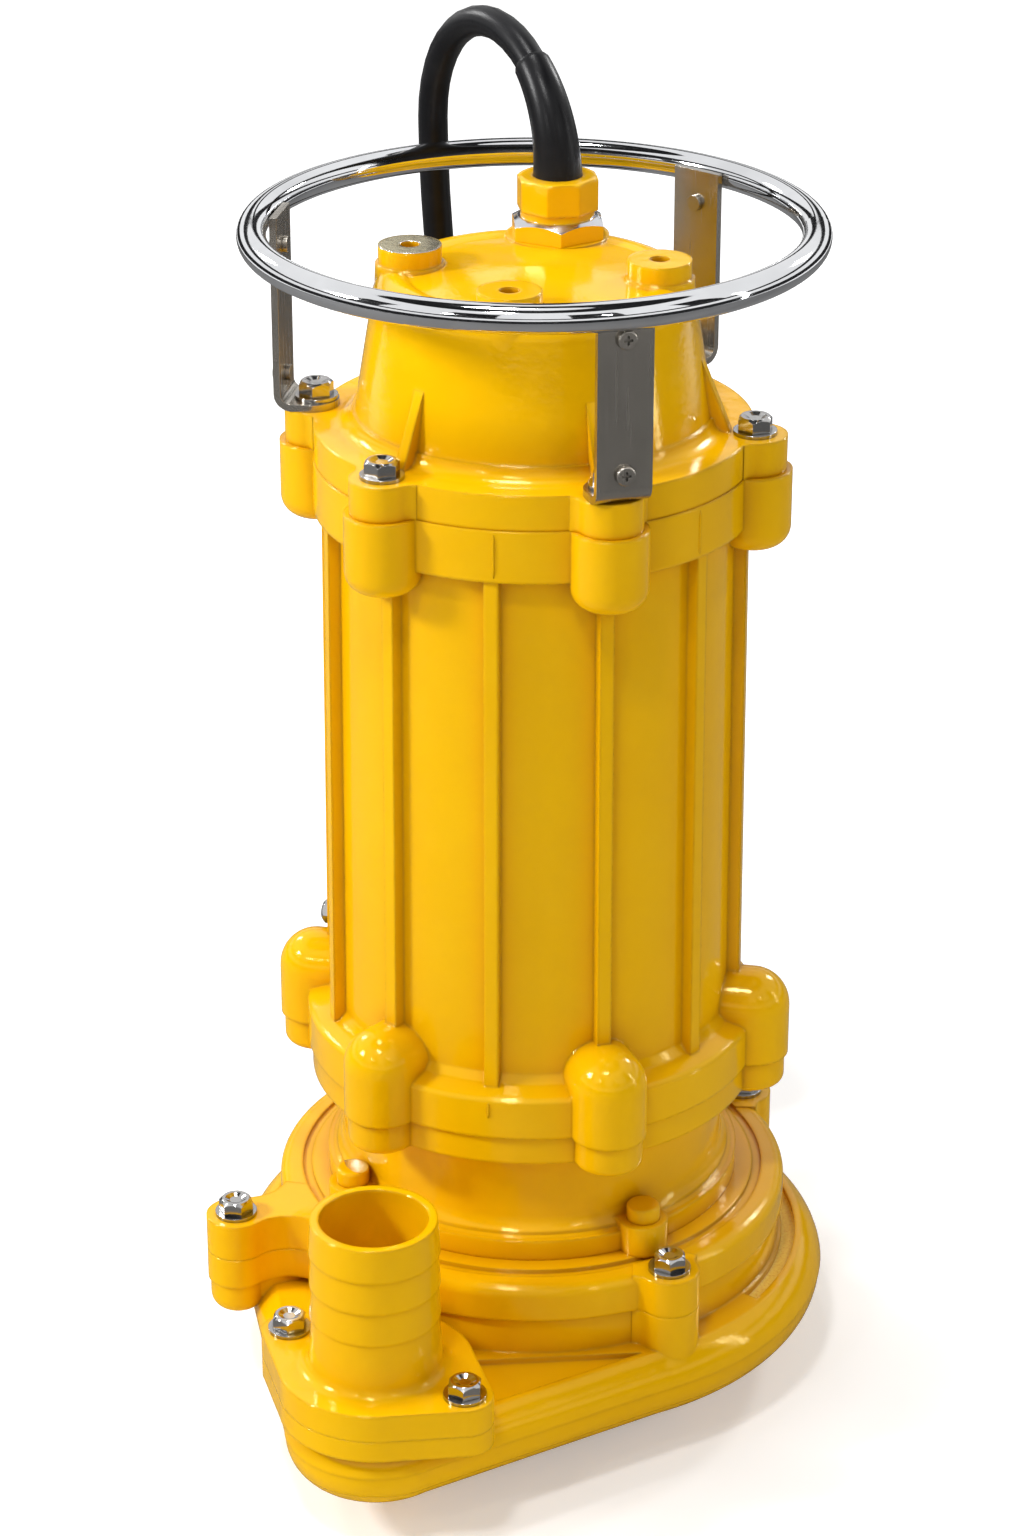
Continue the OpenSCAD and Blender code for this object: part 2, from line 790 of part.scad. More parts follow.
module suction_plate() {
    color(paint) difference() {
        union() {
            translate([0, 0, z_plate]) cylinder(r = plate_r, h = plate_t);
            translate([0, 0, z_plate]) cylinder(r = plate_spigot_r, h = plate_t + casing_wall);
            for (a = feet) at(a, foot_pcr) cylinder(r1 = foot_r - 1, r2 = foot_r, h = foot_h + bite);
        }
        translate([0, 0, z_plate - cut]) cylinder(r = inlet_r, h = plate_t + casing_wall + 2 * cut);
        for (k = [0:notch_n - 1]) at(360 / notch_n * k, inlet_r, z_plate - cut) {
            cylinder(r = notch_r, h = plate_t + cut + 2);
        }
        for (a = plate_screws) at(a, plate_screw_pcr, z_plate - cut) {
            cylinder(r = clear_r, h = plate_t + 2 * cut);
        }
    }
}

module suction_plate_screws() {
    color(bright_steel) for (a = plate_screws) at(a, plate_screw_pcr, z_plate) {
        mirror([0, 0, 1]) cap_screw(bolt_r, cap_head_r, 5, plate_screw_l);
    }
}

module casing_o_ring() {
    color(rubber_black) o_ring(casing_bore_r - fit, z_seam - cover_spigot_h / 2);
}

// The cover's section: rounded rim, groove and land
module cover_section() {
    rim_z = cover_t - 0.6;
    square([cover_r, rim_z - cover_round]);
    square([cover_r - cover_round, rim_z]);
    translate([cover_r - cover_round, rim_z - cover_round]) circle(cover_round);
    square([land_r, cover_t]);
}

module volute_cover() {
    color(paint) difference() {
        union() {
            translate([0, 0, z_seam]) rotate_extrude() cover_section();
            translate([0, 0, z_seam]) {
                for (a = near_ears) lobe(a, cover_r - 2, ear_pcr, ear_r, ear_web, cover_t);
                lobe(far_ear_angle, cover_r - 2, far_ear_pcr, ear_r, far_ear_web, cover_t);
            }
            translate([0, 0, z_seam - cover_spigot_h]) {
                cylinder(r = casing_bore_r - fit, h = cover_spigot_h + bite);
            }
            translate([0, 0, z_cover - bite]) cylinder(r = foot_spigot_r, h = foot_spigot_h + bite);
        }
        o_groove(casing_bore_r - fit, z_seam - cover_spigot_h / 2);
        o_groove(foot_spigot_r, z_cover + foot_spigot_h / 2);
        translate([0, 0, z_cover - land_d]) pipe(land_r + 4, land_r, land_d + cut);
        translate([0, 0, z_seam - cover_spigot_h - cut]) {
            cylinder(r = seal_shaft_r + run_gap, h = cover_t + cover_spigot_h + foot_spigot_h + 2 * cut);
        }
        translate([0, 0, z_cover + foot_spigot_h - seat_depth]) {
            cylinder(r = seat_r + fit, h = seat_depth + cut);
        }
        for (a = near_ears) at(a, ear_pcr, z_seam - cut) cylinder(r = clear_r, h = cover_t + 2 * cut);
        at(far_ear_angle, far_ear_pcr, z_seam - cut) cylinder(r = clear_r, h = cover_t + 2 * cut);
        for (a = foot_screws) at(a, foot_screw_pcr, z_cover - foot_tap_l) {
            cylinder(r = tapped_r, h = foot_tap_l + cut);
        }
    }
}

module cover_bolts() {
    color(bright_steel) {
        for (a = near_ears) facing(a, ear_pcr, z_cover + washer_t) hex_bolt(cover_bolt_l);
        facing(far_ear_angle, far_ear_pcr, z_cover + washer_t) hex_bolt(cover_bolt_l);
    }
}

module cover_washers() {
    color(bright_steel) {
        for (a = near_ears) at(a, ear_pcr, z_cover) pipe(washer_r, clear_r, washer_t);
        at(far_ear_angle, far_ear_pcr, z_cover) pipe(washer_r, clear_r, washer_t);
    }
}

// The oil chamber's outside: foot ring, neck and flange
module oil_section() {
    neck_top = oil_h - oil_flange_t;
    blend = 7;
    square([oil_foot_r, oil_foot_h - 2]);
    square([oil_foot_r - 2, oil_foot_h]);
    translate([oil_foot_r - 2, oil_foot_h - 2]) circle(2);
    difference() {
        square([neck_r + blend, oil_foot_h + blend]);
        translate([neck_r + blend, oil_foot_h + blend]) circle(blend);
        translate([oil_foot_r - 2, oil_foot_h - cut]) square([blend * 2, blend * 2]);
    }
    square([neck_r, neck_top + bite]);
    translate([0, neck_top]) square([oil_flange_r, oil_flange_t]);
}

module oil_chamber() {
    color(paint) difference() {
        union() {
            translate([0, 0, z_cover]) rotate_extrude() oil_section();
            translate([0, 0, z_cover]) for (a = foot_screws) {
                lobe(a, neck_r, foot_screw_pcr, foot_lug_r, foot_web, foot_lug_h);
            }
            for (a = lugs) at(a, low_lug_pcr, z_oil - oil_flange_t - 2) {
                round_post(low_lug_r - 1.5, oil_flange_t + 2, 4);
            }
            translate([0, 0, z_oil - oil_flange_t]) for (a = lugs) linear_extrude(oil_flange_t) rotate(a) {
                translate([-low_lug_r + 1.5 + fit, -low_lug_pcr]) {
                    square([2 * low_lug_r - 3 - 2 * fit, 14]);
                }
            }
            translate([0, 0, z_oil - bite]) cylinder(r = oil_spigot_r, h = oil_spigot_h + bite);
            facing(filler_angle, neck_r - 6, z_filler) rotate([90, 0, 0]) cylinder(r = 13, h = 10);
        }
        o_groove(oil_spigot_r, z_oil + oil_spigot_h / 2);
        translate([0, 0, z_cover - cut]) {
            cylinder(r = reservoir_r, h = seal_top_z - z_cover - seal_ring_w + cut);
        }
        translate([0, 0, z_cover]) cylinder(r = low_journal_r + 2, h = oil_h);
        translate([0, 0, seal_top_z - seal_ring_w - cut]) {
            cylinder(r = seal_bore_r + fit, h = seal_ring_w + cut);
        }
        translate([0, 0, low_bearing_z]) {
            cylinder(r = low_bearing_r, h = low_bearing_w + oil_spigot_h + cut);
        }
        for (a = lugs) at(a, low_lug_pcr, z_oil - oil_flange_t - 3) {
            cylinder(r = clear_r, h = oil_flange_t + 4);
        }
        for (a = foot_screws) at(a, foot_screw_pcr, z_cover - cut) {
            cylinder(r = clear_r, h = foot_lug_h + 2 * cut);
        }
        facing(filler_angle, reservoir_r - 5, z_filler) rotate([90, 0, 0]) {
            cylinder(r = filler_r + fit, h = 40);
        }
    }
}

module oil_chamber_screws() {
    color(paint) for (a = foot_screws) at(a, foot_screw_pcr, z_cover + foot_lug_h) {
        cap_screw(bolt_r, cap_head_r, cap_head_h, foot_screw_l);
    }
}

module oil_chamber_o_ring() {
    color(rubber_black) o_ring(foot_spigot_r, z_cover + foot_spigot_h / 2);
}

// The plug that closes the oil filler at the back
module oil_plug() {
    color(bright_steel) facing(filler_angle, neck_r + 4, z_filler) rotate([90, 0, 0]) {
        cylinder(r = 10, h = 2);
        translate([0, 0, 2 - cut / 10]) hex_head(14, 6);
        translate([0, 0, -14]) cylinder(r = filler_r, h = 14 + bite);
    }
}

module lower_seal_seat() {
    color(cast_grey) translate([0, 0, z_cover + foot_spigot_h - seat_depth]) {
        pipe(seat_r, seal_shaft_r + run_gap, seat_depth);
    }
}

module upper_seal_ring() {
    color(rubber_black) translate([0, 0, seal_top_z - seal_ring_w]) {
        pipe(seal_bore_r, seal_shaft_r + fit, seal_ring_w);
    }
}

// The outer ring of a ball bearing with its ball track
module bearing_outer(r, ri, w, pitch, ball) {
    difference() {
        pipe(r, ri, w);
        translate([0, 0, w / 2]) rotate_extrude() translate([pitch, 0]) circle(ball + ball_gap);
    }
}

// The inner ring of a ball bearing with its ball track
module bearing_inner(journal, ro, w, pitch, ball) {
    difference() {
        pipe(ro, journal + fit, w);
        translate([0, 0, w / 2]) rotate_extrude() translate([pitch, 0]) circle(ball + ball_gap);
    }
}

// The balls of a bearing, held by their cage
module ball_cage(pitch, ball, w) {
    translate([0, 0, w / 2]) {
        translate([0, 0, -cage_h / 2]) pipe(pitch + cage_w / 2, pitch - cage_w / 2, cage_h);
        for (k = [0:ball_n - 1]) facing(360 / ball_n * k, pitch) rotate([0, 0, 45]) sphere(ball);
    }
}

module lower_bearing_outer() {
    color(bright_steel) translate([0, 0, low_bearing_z]) {
        bearing_outer(low_bearing_r - fit, low_outer_r, low_bearing_w, low_pitch_r, low_ball_r);
    }
}

// The frame's outside below and above its ribbed body
module frame_section() {
    top_z = frame_h - top_flange_t;
    polygon([
        [0, 0], [low_flange_r, 0], [low_flange_r, low_flange_t - 1.5], [low_flange_r - 1.5, low_flange_t],
        [body_r_low + 3, low_flange_t + 2.5], [body_r_low, low_flange_t + 6], [body_r_top, top_z],
        [top_flange_r, top_z], [top_flange_r, frame_h], [0, frame_h]
    ]);
}

// One cooling rib with the draft of the body
module frame_rib() {
    low_z = low_flange_t - bite;
    top_z = frame_h - top_flange_t + bite;
    translate([rib_w / 2, 0, 0]) rotate([90, 0, -90]) linear_extrude(rib_w) polygon([
        [frame_bore_r + 3, low_z], [body_r_low + rib_h, low_z],
        [body_r_top + rib_h, top_z], [frame_bore_r + 3, top_z]
    ]);
}

// A lower lug whose dome runs back into the body
module domed_lug() {
    translate([0, -low_lug_pcr, 0]) cylinder(r = low_lug_r, h = dome_h);
    translate([0, -low_lug_pcr, dome_h]) sphere(low_lug_r);
    translate([-low_lug_r, -low_lug_pcr, 0]) cube([2 * low_lug_r, low_lug_pcr - frame_bore_r - 3, dome_h]);
    translate([0, -frame_bore_r - 3, dome_h]) rotate([90, 0, 0]) {
        cylinder(r = low_lug_r, h = low_lug_pcr - frame_bore_r - 3);
    }
}

module motor_frame() {
    drop = top_flange_t + top_lug_drop;
    color(paint) translate([0, 0, z_oil]) difference() {
        union() {
            rotate_extrude() frame_section();
            for (k = [0:rib_n - 1]) rotate([0, 0, lug_angle + 360 / rib_n * k]) frame_rib();
            for (a = lugs) rotate([0, 0, a]) domed_lug();
            for (a = lugs) at(a, cap_lug_pcr, frame_h - drop) {
                round_post(top_lug_r, drop, top_lug_round);
            }
            facing(earth_angle, body_r_low - 3, earth_z) rotate([90, 0, 0]) {
                cylinder(r = 7, h = earth_reach + 3);
            }
        }
        translate([0, 0, -cut]) cylinder(r = frame_bore_r, h = frame_h + 2 * cut);
        translate([0, 0, frame_h - cap_seat_d]) cylinder(r = cap_bore_r, h = cap_seat_d + cut);
        for (a = lugs) at(a, cap_lug_pcr, frame_h - cap_tap_l) cylinder(r = tapped_r, h = cap_tap_l + cut);
        for (a = lugs) at(a, low_lug_pcr, -cut) cylinder(r = tapped_r, h = low_tap_l + cut);
        facing(earth_angle, body_r_low - 2, earth_z) rotate([90, 0, 0]) {
            cylinder(r = earth_r + fit, h = 20);
        }
    }
}

module frame_screws() {
    color(paint) for (a = lugs) at(a, low_lug_pcr, z_oil - oil_flange_t - 2) {
        mirror([0, 0, 1]) cap_screw(bolt_r, frame_head_r, frame_head_h, frame_screw_l);
    }
}

module frame_o_ring() {
    color(rubber_black) o_ring(oil_spigot_r, z_oil + oil_spigot_h / 2);
}

// The earth terminal low on the frame's side
module earth_screw() {
    color(bright_steel) facing(earth_angle, body_r_low + earth_reach, z_oil + earth_z) rotate([90, 0, 0]) {
        cylinder(r = 6, h = 1);
        translate([0, 0, 1 - bite / 10]) hex_head(10, 4.5);
        translate([0, 0, -7]) cylinder(r = earth_r, h = 7 + bite);
    }
}

module stator_core() {
    color(cast_grey) translate([0, 0, core_z]) pipe(frame_bore_r - fit, rotor_r + air_gap, core_l);
}

// The two ends of the windings
module stator_windings() {
    low_r = rotor_r + 5;
    wide = 24;
    edge = 6;
    color(copper) for (z = [core_z - winding_l, core_z + core_l]) translate([0, 0, z]) rotate_extrude() {
        translate([low_r, edge]) square([wide, winding_l - 2 * edge]);
        translate([low_r + edge, 0]) square([wide - 2 * edge, winding_l]);
        for (x = [edge, wide - edge], y = [edge, winding_l - edge]) translate([low_r + x, y]) {
            circle(edge);
        }
    }
}

// The plate under the top cover that holds the upper bearing
module bearing_bracket() {
    z = z_frame - cap_seat_d;
    hub = top_bearing_r + 6;
    vent_n = 6;
    vent_pcr = 55;
    vent_r = 10;
    top = top_bearing_z + top_bearing_w + 1;
    color(cast_grey) difference() {
        union() {
            translate([0, 0, z]) cylinder(r = cap_bore_r - fit, h = bracket_t);
            translate([0, 0, z]) cylinder(r = hub, h = top - z);
        }
        translate([0, 0, z - cut]) cylinder(r = shaft_r + 1, h = top - z + 2 * cut);
        translate([0, 0, top_bearing_z - wave_t]) {
            cylinder(r = top_bearing_r, h = top_bearing_w + wave_t + 1 + cut);
        }
        for (k = [0:vent_n - 1]) at(360 / vent_n * k, vent_pcr, z - cut) {
            cylinder(r = vent_r, h = bracket_t + 2 * cut);
        }
    }
}

module upper_bearing_outer() {
    color(bright_steel) translate([0, 0, top_bearing_z]) {
        bearing_outer(top_bearing_r - fit, top_outer_r, top_bearing_w, top_pitch_r, top_ball_r);
    }
}

module wave_washer() {
    color(bright_steel) translate([0, 0, top_bearing_z - wave_t]) {
        pipe(top_bearing_r - fit, top_outer_r, wave_t);
    }
}

// The top cover's outside: cone with a rounded crown
module cap_section(foot, top, high, mid, corner) {
    polygon([
        [0, 0], [foot, 0], [top, high],
        [top - corner * 0.9, high + corner * 0.85], [0, mid]
    ]);
    intersection() {
        translate([top - corner, high]) circle(corner);
        translate([0, high - bite]) square([top + corner, corner + 2 * bite]);
    }
}

// A thin triangular gusset between a lug and the cone
module gusset() {
    foot = cap_lug_pcr - washer_r - 1;
    lean = (cone_r_low - cone_r_top) * gusset_h / cone_h;
    tip = cone_r_low - lean;
    translate([gusset_w / 2, 0, 0]) rotate([90, 0, -90]) linear_extrude(gusset_w) polygon([
        [tip - 4, -bite], [foot, -bite], [foot, 1], [tip, gusset_h], [tip - 4, gusset_h - bite]
    ]);
}

module boss() {
    pillar_h = boss_h - boss_cap_h;
    cylinder(r1 = pillar_foot_r, r2 = pillar_r, h = pillar_h);
    translate([0, 0, pillar_h - bite]) cylinder(r = boss_cap_r, h = boss_cap_h + bite);
}

module top_cover() {
    color(paint) difference() {
        union() {
            translate([0, 0, z_frame - cap_spigot_h]) {
                cylinder(r = cap_spigot_r, h = cap_spigot_h + bite);
            }
            translate([0, 0, z_frame]) cylinder(r = cap_flange_r, h = cap_flange_t);
            translate([0, 0, z_frame]) for (a = lugs) {
                lobe(a, cap_flange_r, cap_lug_pcr, cap_lug_r, cap_web, cap_flange_t);
            }
            translate([0, 0, z_lug]) difference() {
                cylinder(r = cone_r_low + cone_foot_round, h = cone_foot_round);
                translate([0, 0, cone_foot_round]) rotate_extrude() {
                    translate([cone_r_low + cone_foot_round, 0]) circle(cone_foot_round);
                }
            }
            translate([0, 0, z_lug - bite]) rotate_extrude() {
                cap_section(cone_r_low, cone_r_top, cone_h, crown_h, crown_round);
            }
            for (a = gusset_lugs) rotate([0, 0, a]) translate([0, 0, z_lug]) gusset();
            intersection() {
                for (a = plain_bosses) at(a, boss_pcr, z_lug) boss();
                translate([0, 0, z_lug]) cylinder(r = boss_pcr + pillar_foot_r, h = boss_h + cut);
            }
            translate([gland_at[0], gland_at[1], z_lug + cone_h - 10]) {
                cylinder(r = pad_r, h = z_pad - z_lug - cone_h + 10);
            }
        }
        o_groove(cap_spigot_r, z_frame - cap_spigot_h / 2);
        translate([0, 0, z_frame - cap_spigot_h - cut]) {
            cylinder(r = cap_spigot_in, h = cap_spigot_h + cap_flange_t);
        }
        translate([0, 0, z_lug - 2 * cut]) rotate_extrude() {
            cap_section(
                cone_r_low - cap_wall, cone_r_top - cap_wall, cone_h - cap_wall,
                crown_h - cap_wall, crown_round - 2
            );
        }
        for (a = lugs) at(a, cap_lug_pcr, z_frame - cut) {
            cylinder(r = clear_r, h = cap_flange_t + 2 * cut);
        }
        for (a = plain_bosses) at(a, boss_pcr, z_lug + boss_h - boss_thread_l) {
            cylinder(r = tapped_r, h = boss_thread_l + cut);
            translate([0, 0, -drill_tip_h]) cylinder(r1 = drill_tip_r, r2 = tapped_r, h = drill_tip_h);
        }
        translate([gland_at[0], gland_at[1], z_lug]) {
            cylinder(r = gland_thread_r + fit, h = pad_h + cut);
        }
    }
}

module top_cover_bolts() {
    color(bright_steel) {
        for (a = brackets) facing(a, cap_lug_pcr, z_lug + strap_t + washer_t) hex_bolt(cap_bolt_l);
        for (a = free_lugs) facing(a, cap_lug_pcr, z_lug + washer_t) hex_bolt(cap_bolt_l);
    }
}

module top_cover_washers() {
    color(bright_steel) {
        for (a = brackets) at(a, cap_lug_pcr, z_lug + strap_t) pipe(washer_r, clear_r, washer_t);
        for (a = free_lugs) at(a, cap_lug_pcr, z_lug) pipe(washer_r, clear_r, washer_t);
    }
}

module top_cover_o_ring() {
    color(rubber_black) o_ring(cap_spigot_r, z_frame - cap_spigot_h / 2);
}

module gland_body() {
    grip = gland_thread_r - 1.5;
    corner = gland_af / 2 / cos(30);
    color(bright_steel) translate([gland_at[0], gland_at[1], z_pad]) difference() {
        union() {
            intersection() {
                linear_extrude(gland_hex_h) rotate(gland_hex_turn) circle(r = corner, $fn = 6);
                rotate_extrude() polygon([
                    [0, 0], [corner + cut, 0], [corner + cut, gland_hex_h - gland_bevel_h],
                    [gland_af / 2 - gland_bevel_in, gland_hex_h], [0, gland_hex_h]
                ]);
            }
            cylinder(r = nut_af / 2 - 0.6, h = gland_hex_h + gland_collar_h);
            translate([0, 0, -cap_wall - 4]) cylinder(r = gland_thread_r, h = cap_wall + 4 + bite);
        }
        translate([0, 0, -cap_wall - 4 - cut]) cylinder(r = grip, h = 60);
    }
}

module gland_nut() {
    corner = nut_af / 2 / cos(180 / nut_sides);
    edge = 3;
    color(paint) translate([gland_at[0], gland_at[1], z_nut]) difference() {
        intersection() {
            linear_extrude(nut_h) rotate(nut_turn) circle(r = corner, $fn = nut_sides);
            rotate_extrude() {
                square([corner + cut, nut_h - edge]);
                square([corner - edge + 0.6, nut_h]);
                translate([corner - edge + 0.6, nut_h - edge]) circle(edge);
            }
        }
        translate([0, 0, -cut]) cylinder(r = sleeve_r + fit, h = nut_h + 2 * cut);
    }
}

module gland_seal() {
    color(rubber_black) translate([gland_at[0], gland_at[1], z_nut - seal_ring_h]) {
        cylinder(r = gland_thread_r - 1.5 - fit, h = seal_ring_h);
    }
}

// The loop of the cable, a half circle that stands upright, as points
function bezier(p, t) =
    pow(1 - t, 3) * p[0] + 3 * pow(1 - t, 2) * t * p[1] + 3 * (1 - t) * t * t * p[2] + pow(t, 3) * p[3];
function hang(z) = [hang_at[0], hang_at[1], z];
function ease(t) = t < 1 ? t * t * (3 - 2 * t) : 1;
function tail_heading() = let (a = tail_from - tail_turn) [sin(a), -cos(a), 0];
function tail_point(t) =
    let (a = tail_from - tail_turn * t, drop = ease(t * 1.5), r = wound_r + tail_out * drop)
    [coil_at[0] + r * cos(a), coil_at[1] + r * sin(a), tie_t + cable_d / 2 - 0.9 * tie_t * drop];
function loop_point(turn) =
    exit_point + loop_r * [(1 - cos(turn)) * cos(loop_dir), (1 - cos(turn)) * sin(loop_dir), sin(turn)];

// A tube swept along points, with a round ring of n sides at each
function tangent(p, i) =
    let (a = p[max(i - 1, 0)], b = p[min(i + 1, len(p) - 1)])
    (b - a) / norm(b - a);
function loop_heading(turn) = [sin(turn) * cos(loop_dir), sin(turn) * sin(loop_dir), cos(turn)];
function side_of(t, up) = let (s = cross(t, up)) s / norm(s);
function ring_points(c, t, up, r, n) =
    let (u = side_of(t, up), v = cross(u, t))
    [for (k = [0:n - 1]) c + r * (cos(360 * k / n) * u + sin(360 * k / n) * v)];
module swept(p, radii, up, n, first = undef, final = undef) {
    last = len(p) - 1;
    points = [
        for (i = [0:last])
        let (t = i == 0 && first != undef ? first : i == last && final != undef ? final : tangent(p, i))
        each ring_points(p[i], t, up, radii[i], n)
    ];
    faces = concat(
        [[for (k = [0:n - 1]) k]],
        [for (i = [0:last - 1], k = [0:n - 1])
            [i * n + k, (i + 1) * n + k, (i + 1) * n + (k + 1) % n, i * n + (k + 1) % n]],
        [[for (k = [n - 1:-1:0]) last * n + k]]
    );
    polyhedron(points = points, faces = faces);
}

// The direction square to the plane of the loop
loop_up = [-sin(loop_dir), cos(loop_dir), 0];

module cable_sleeve() {
    straight = [for (z = [z_nut, z_nut + nut_h / 2]) [gland_at[0], gland_at[1], z]];
    bent = [for (k = [0:sleeve_rings]) loop_point(sleeve_turn * k / sleeve_rings)];
    radii = [for (k = [0:sleeve_rings]) sleeve_r + (sleeve_tip_r - sleeve_r) * k / sleeve_rings];
    color(rubber_black) swept(concat(straight, bent), concat([sleeve_r, sleeve_r], radii), loop_up, 24,
        final = loop_heading(sleeve_turn));
}

module power_cable() {
    over = [for (k = [0:loop_steps]) loop_point(sleeve_turn + (180 - sleeve_turn) * k / loop_steps)];
    foot = [hang(hang_foot), hang(hang_foot - hang_pull[2]), entry - [0, hang_pull[3], 0], entry];
    top = [
        loop_point(180), loop_point(180) - [0, 0, hang_pull[0]],
        hang(hang_top + hang_pull[1]), hang(hang_top)
    ];
    route = concat(
        over, [for (k = [1:leg_steps[0]]) bezier(top, k / leg_steps[0])],
        [for (k = [0:leg_steps[1]]) bezier(foot, k / leg_steps[1])]
    );
    color(rubber_black) {
        swept(route, [for (p = route) cable_d / 2], loop_up, 12, loop_heading(sleeve_turn), [0, 1, 0]);
    }
}

// The wound cable, as one solid of the coil's outer shape
module cable_coil() {
    wide = coil_top_r - coil_low_r;
    color(rubber_black) translate([coil_at[0], coil_at[1], tie_t]) rotate_extrude() {
        translate([coil_low_r, coil_edge]) square([wide, coil_h - 2 * coil_edge]);
        translate([coil_low_r + coil_edge, 0]) square([wide - 2 * coil_edge, coil_h]);
        for (x = [coil_edge, wide - coil_edge], y = [coil_edge, coil_h - coil_edge]) {
            translate([coil_low_r + x, y]) circle(coil_edge);
        }
    }
}

module cable_tail() {
    route = [for (k = [0:tail_steps]) tail_point(k / tail_steps)];
    first = [sin(tail_from), -cos(tail_from), 0];
    color(rubber_black) {
        swept(route, [for (p = route) cable_d / 2], [0, 0, 1], 12, first, tail_heading());
    }
}

// Two ties that hold the coil together
module cable_ties() {
    wide = coil_top_r - coil_low_r;
    color(rubber_black) for (a = tie_angles) translate([coil_at[0], coil_at[1], 0]) rotate([0, 0, a]) {
        translate([coil_low_r - tie_t, -tie_w / 2, 0]) difference() {
            cube([wide + 2 * tie_t, tie_w, coil_h + 2 * tie_t]);
            translate([tie_t, -cut, tie_t]) cube([wide, tie_w + 2 * cut, coil_h]);
        }
    }
}

// The bare ends of the three cores
module cable_cores() {
    dir = atan2(tail_heading()[1], tail_heading()[0]);
    color(copper) translate(tail_point(1)) rotate([0, 90, dir]) for (k = [0:core_n - 1]) {
        rotate([0, 0, 360 / core_n * k]) translate([core_pcr, 0, 0]) {
            cylinder(r = core_r, h = core_l_out);
        }
    }
}

// The ring that the pump is carried by
module handle_ring() {
    color(bright_steel) translate([0, 0, z_ring]) rotate_extrude() translate([ring_r, 0]) {
        circle(ring_tube_r);
    }
}

// The strap's place against the ring
ring_seat_gap = 0.1;
strap_out = sqrt(pow(ring_r - ring_tube_r - ring_seat_gap, 2) - pow(strap_w / 2, 2));
strap_in = strap_out - strap_t;
strap_top = ring_h + 2;
screw_low = 13;
screw_high = ring_h - 12;

module bracket() {
    toe = cap_lug_pcr - strap_w / 2 + 2;
    round_r = strap_w / 2;
    difference() {
        intersection() {
            translate([strap_w / 2, 0, 0]) rotate([90, 0, -90]) linear_extrude(strap_w) {
                translate([toe, 0]) square([strap_in - bend_r - toe, strap_t]);
                translate([strap_in, bend_r + strap_t]) square([strap_t, strap_top - bend_r - strap_t]);
                intersection() {
                    translate([strap_in - bend_r, bend_r + strap_t]) difference() {
                        circle(bend_r + strap_t);
                        circle(bend_r);
                    }
                    translate([strap_in - bend_r, 0]) square(bend_r + strap_t);
                }
            }
            union() {
                translate([0, -toe - round_r, -cut]) cylinder(r = round_r, h = strap_top + 2 * cut);
                translate([-strap_w, -strap_out - cut, -cut]) {
                    cube([2 * strap_w, strap_out + cut - toe - round_r, strap_top + 2 * cut]);
                }
            }
        }
        translate([0, -cap_lug_pcr, -cut]) cylinder(r = clear_r, h = strap_t + 2 * cut);
        for (z = [screw_low, screw_high]) translate([0, -strap_in + cut, z]) {
            rotate([90, 0, 0]) cylinder(r = strap_screw_r + fit, h = strap_t + 2 * cut);
        }
    }
}

module handle_bracket(k) {
    color(dark_steel) rotate([0, 0, brackets[k]]) translate([0, 0, z_lug]) bracket();
}
module handle_bracket_1() { handle_bracket(0); }
module handle_bracket_2() { handle_bracket(1); }
module handle_bracket_3() { handle_bracket(2); }

// Screws through the straps, each with a cross-recessed pan head outside and a flat end inside
module handle_screws() {
    head_h = 2.4;
    edge = 0.8;
    recess_l = 3.8;
    recess_w = 1;
    recess_h = 1.2;
    color(dark_steel) for (a = brackets, z = [screw_low, screw_high])
    facing(a, strap_out, z_lug + z) rotate([90, 0, 0]) {
        difference() {
            rotate_extrude() {
                square([strap_screw_head_r - edge, head_h]);
                square([strap_screw_head_r, head_h - edge]);
                translate([strap_screw_head_r - edge, head_h - edge]) circle(edge);
            }
            translate([0, 0, head_h - recess_h]) linear_extrude(recess_h + cut) {
                square([recess_l, recess_w], center = true);
                square([recess_w, recess_l], center = true);
            }
        }
        translate([0, 0, -strap_t - bite]) cylinder(r = strap_screw_r, h = strap_t + 2 * bite);
        translate([0, 0, -strap_t - 2]) cylinder(r = strap_screw_head_r - 0.6, h = 2);
    }
}

// The gasket's recess under the hose tail
gasket_r = tail_bore_r + 5;
gasket_t = 2;

// The hose tail's section: three barbs over a plain base
module tail_section() {
    base_top = tail_h - 3 * barb_h;
    blend = 5;
    barb_edge = 1;
    lap = 0.01;
    translate([tail_bore_r, 0]) {
        wall = tail_r - tail_bore_r;
        base = wall + 1.6;
        for (k = [0:2]) translate([0, base_top + barb_h * k]) polygon([
            [0, 0], [wall + barb_flare, 0], [wall + barb_flare, barb_edge],
            [wall, barb_h + lap], [0, barb_h + lap]
        ]);
        polygon([
            [0, -bite], [base, -bite], [base, blend], [wall + 0.2, base_top], [0, base_top]
        ]);
        difference() {
            translate([0, -bite]) square([base + blend, blend + bite]);
            translate([base + blend, blend]) circle(blend);
        }
    }
}

module hose_tail() {
    color(paint) translate([outlet_x, outlet_y, 0]) difference() {
        union() {
            translate([0, 0, z_seat]) flange_plate(tail_flange_t);
            translate([0, 0, z_tail]) rotate_extrude() tail_section();
        }
        translate([0, 0, z_seat - cut]) cylinder(r = tail_bore_r, h = tail_flange_t + tail_h + 2 * cut);
        rotate([0, 0, flange_angle]) for (s = [-1, 1]) translate([s * flange_bolt_d, 0, z_seat - cut]) {
            cylinder(r = clear_r, h = tail_flange_t + 2 * cut);
        }
        translate([0, 0, z_seat - cut]) cylinder(r = gasket_r, h = gasket_t + cut);
    }
}

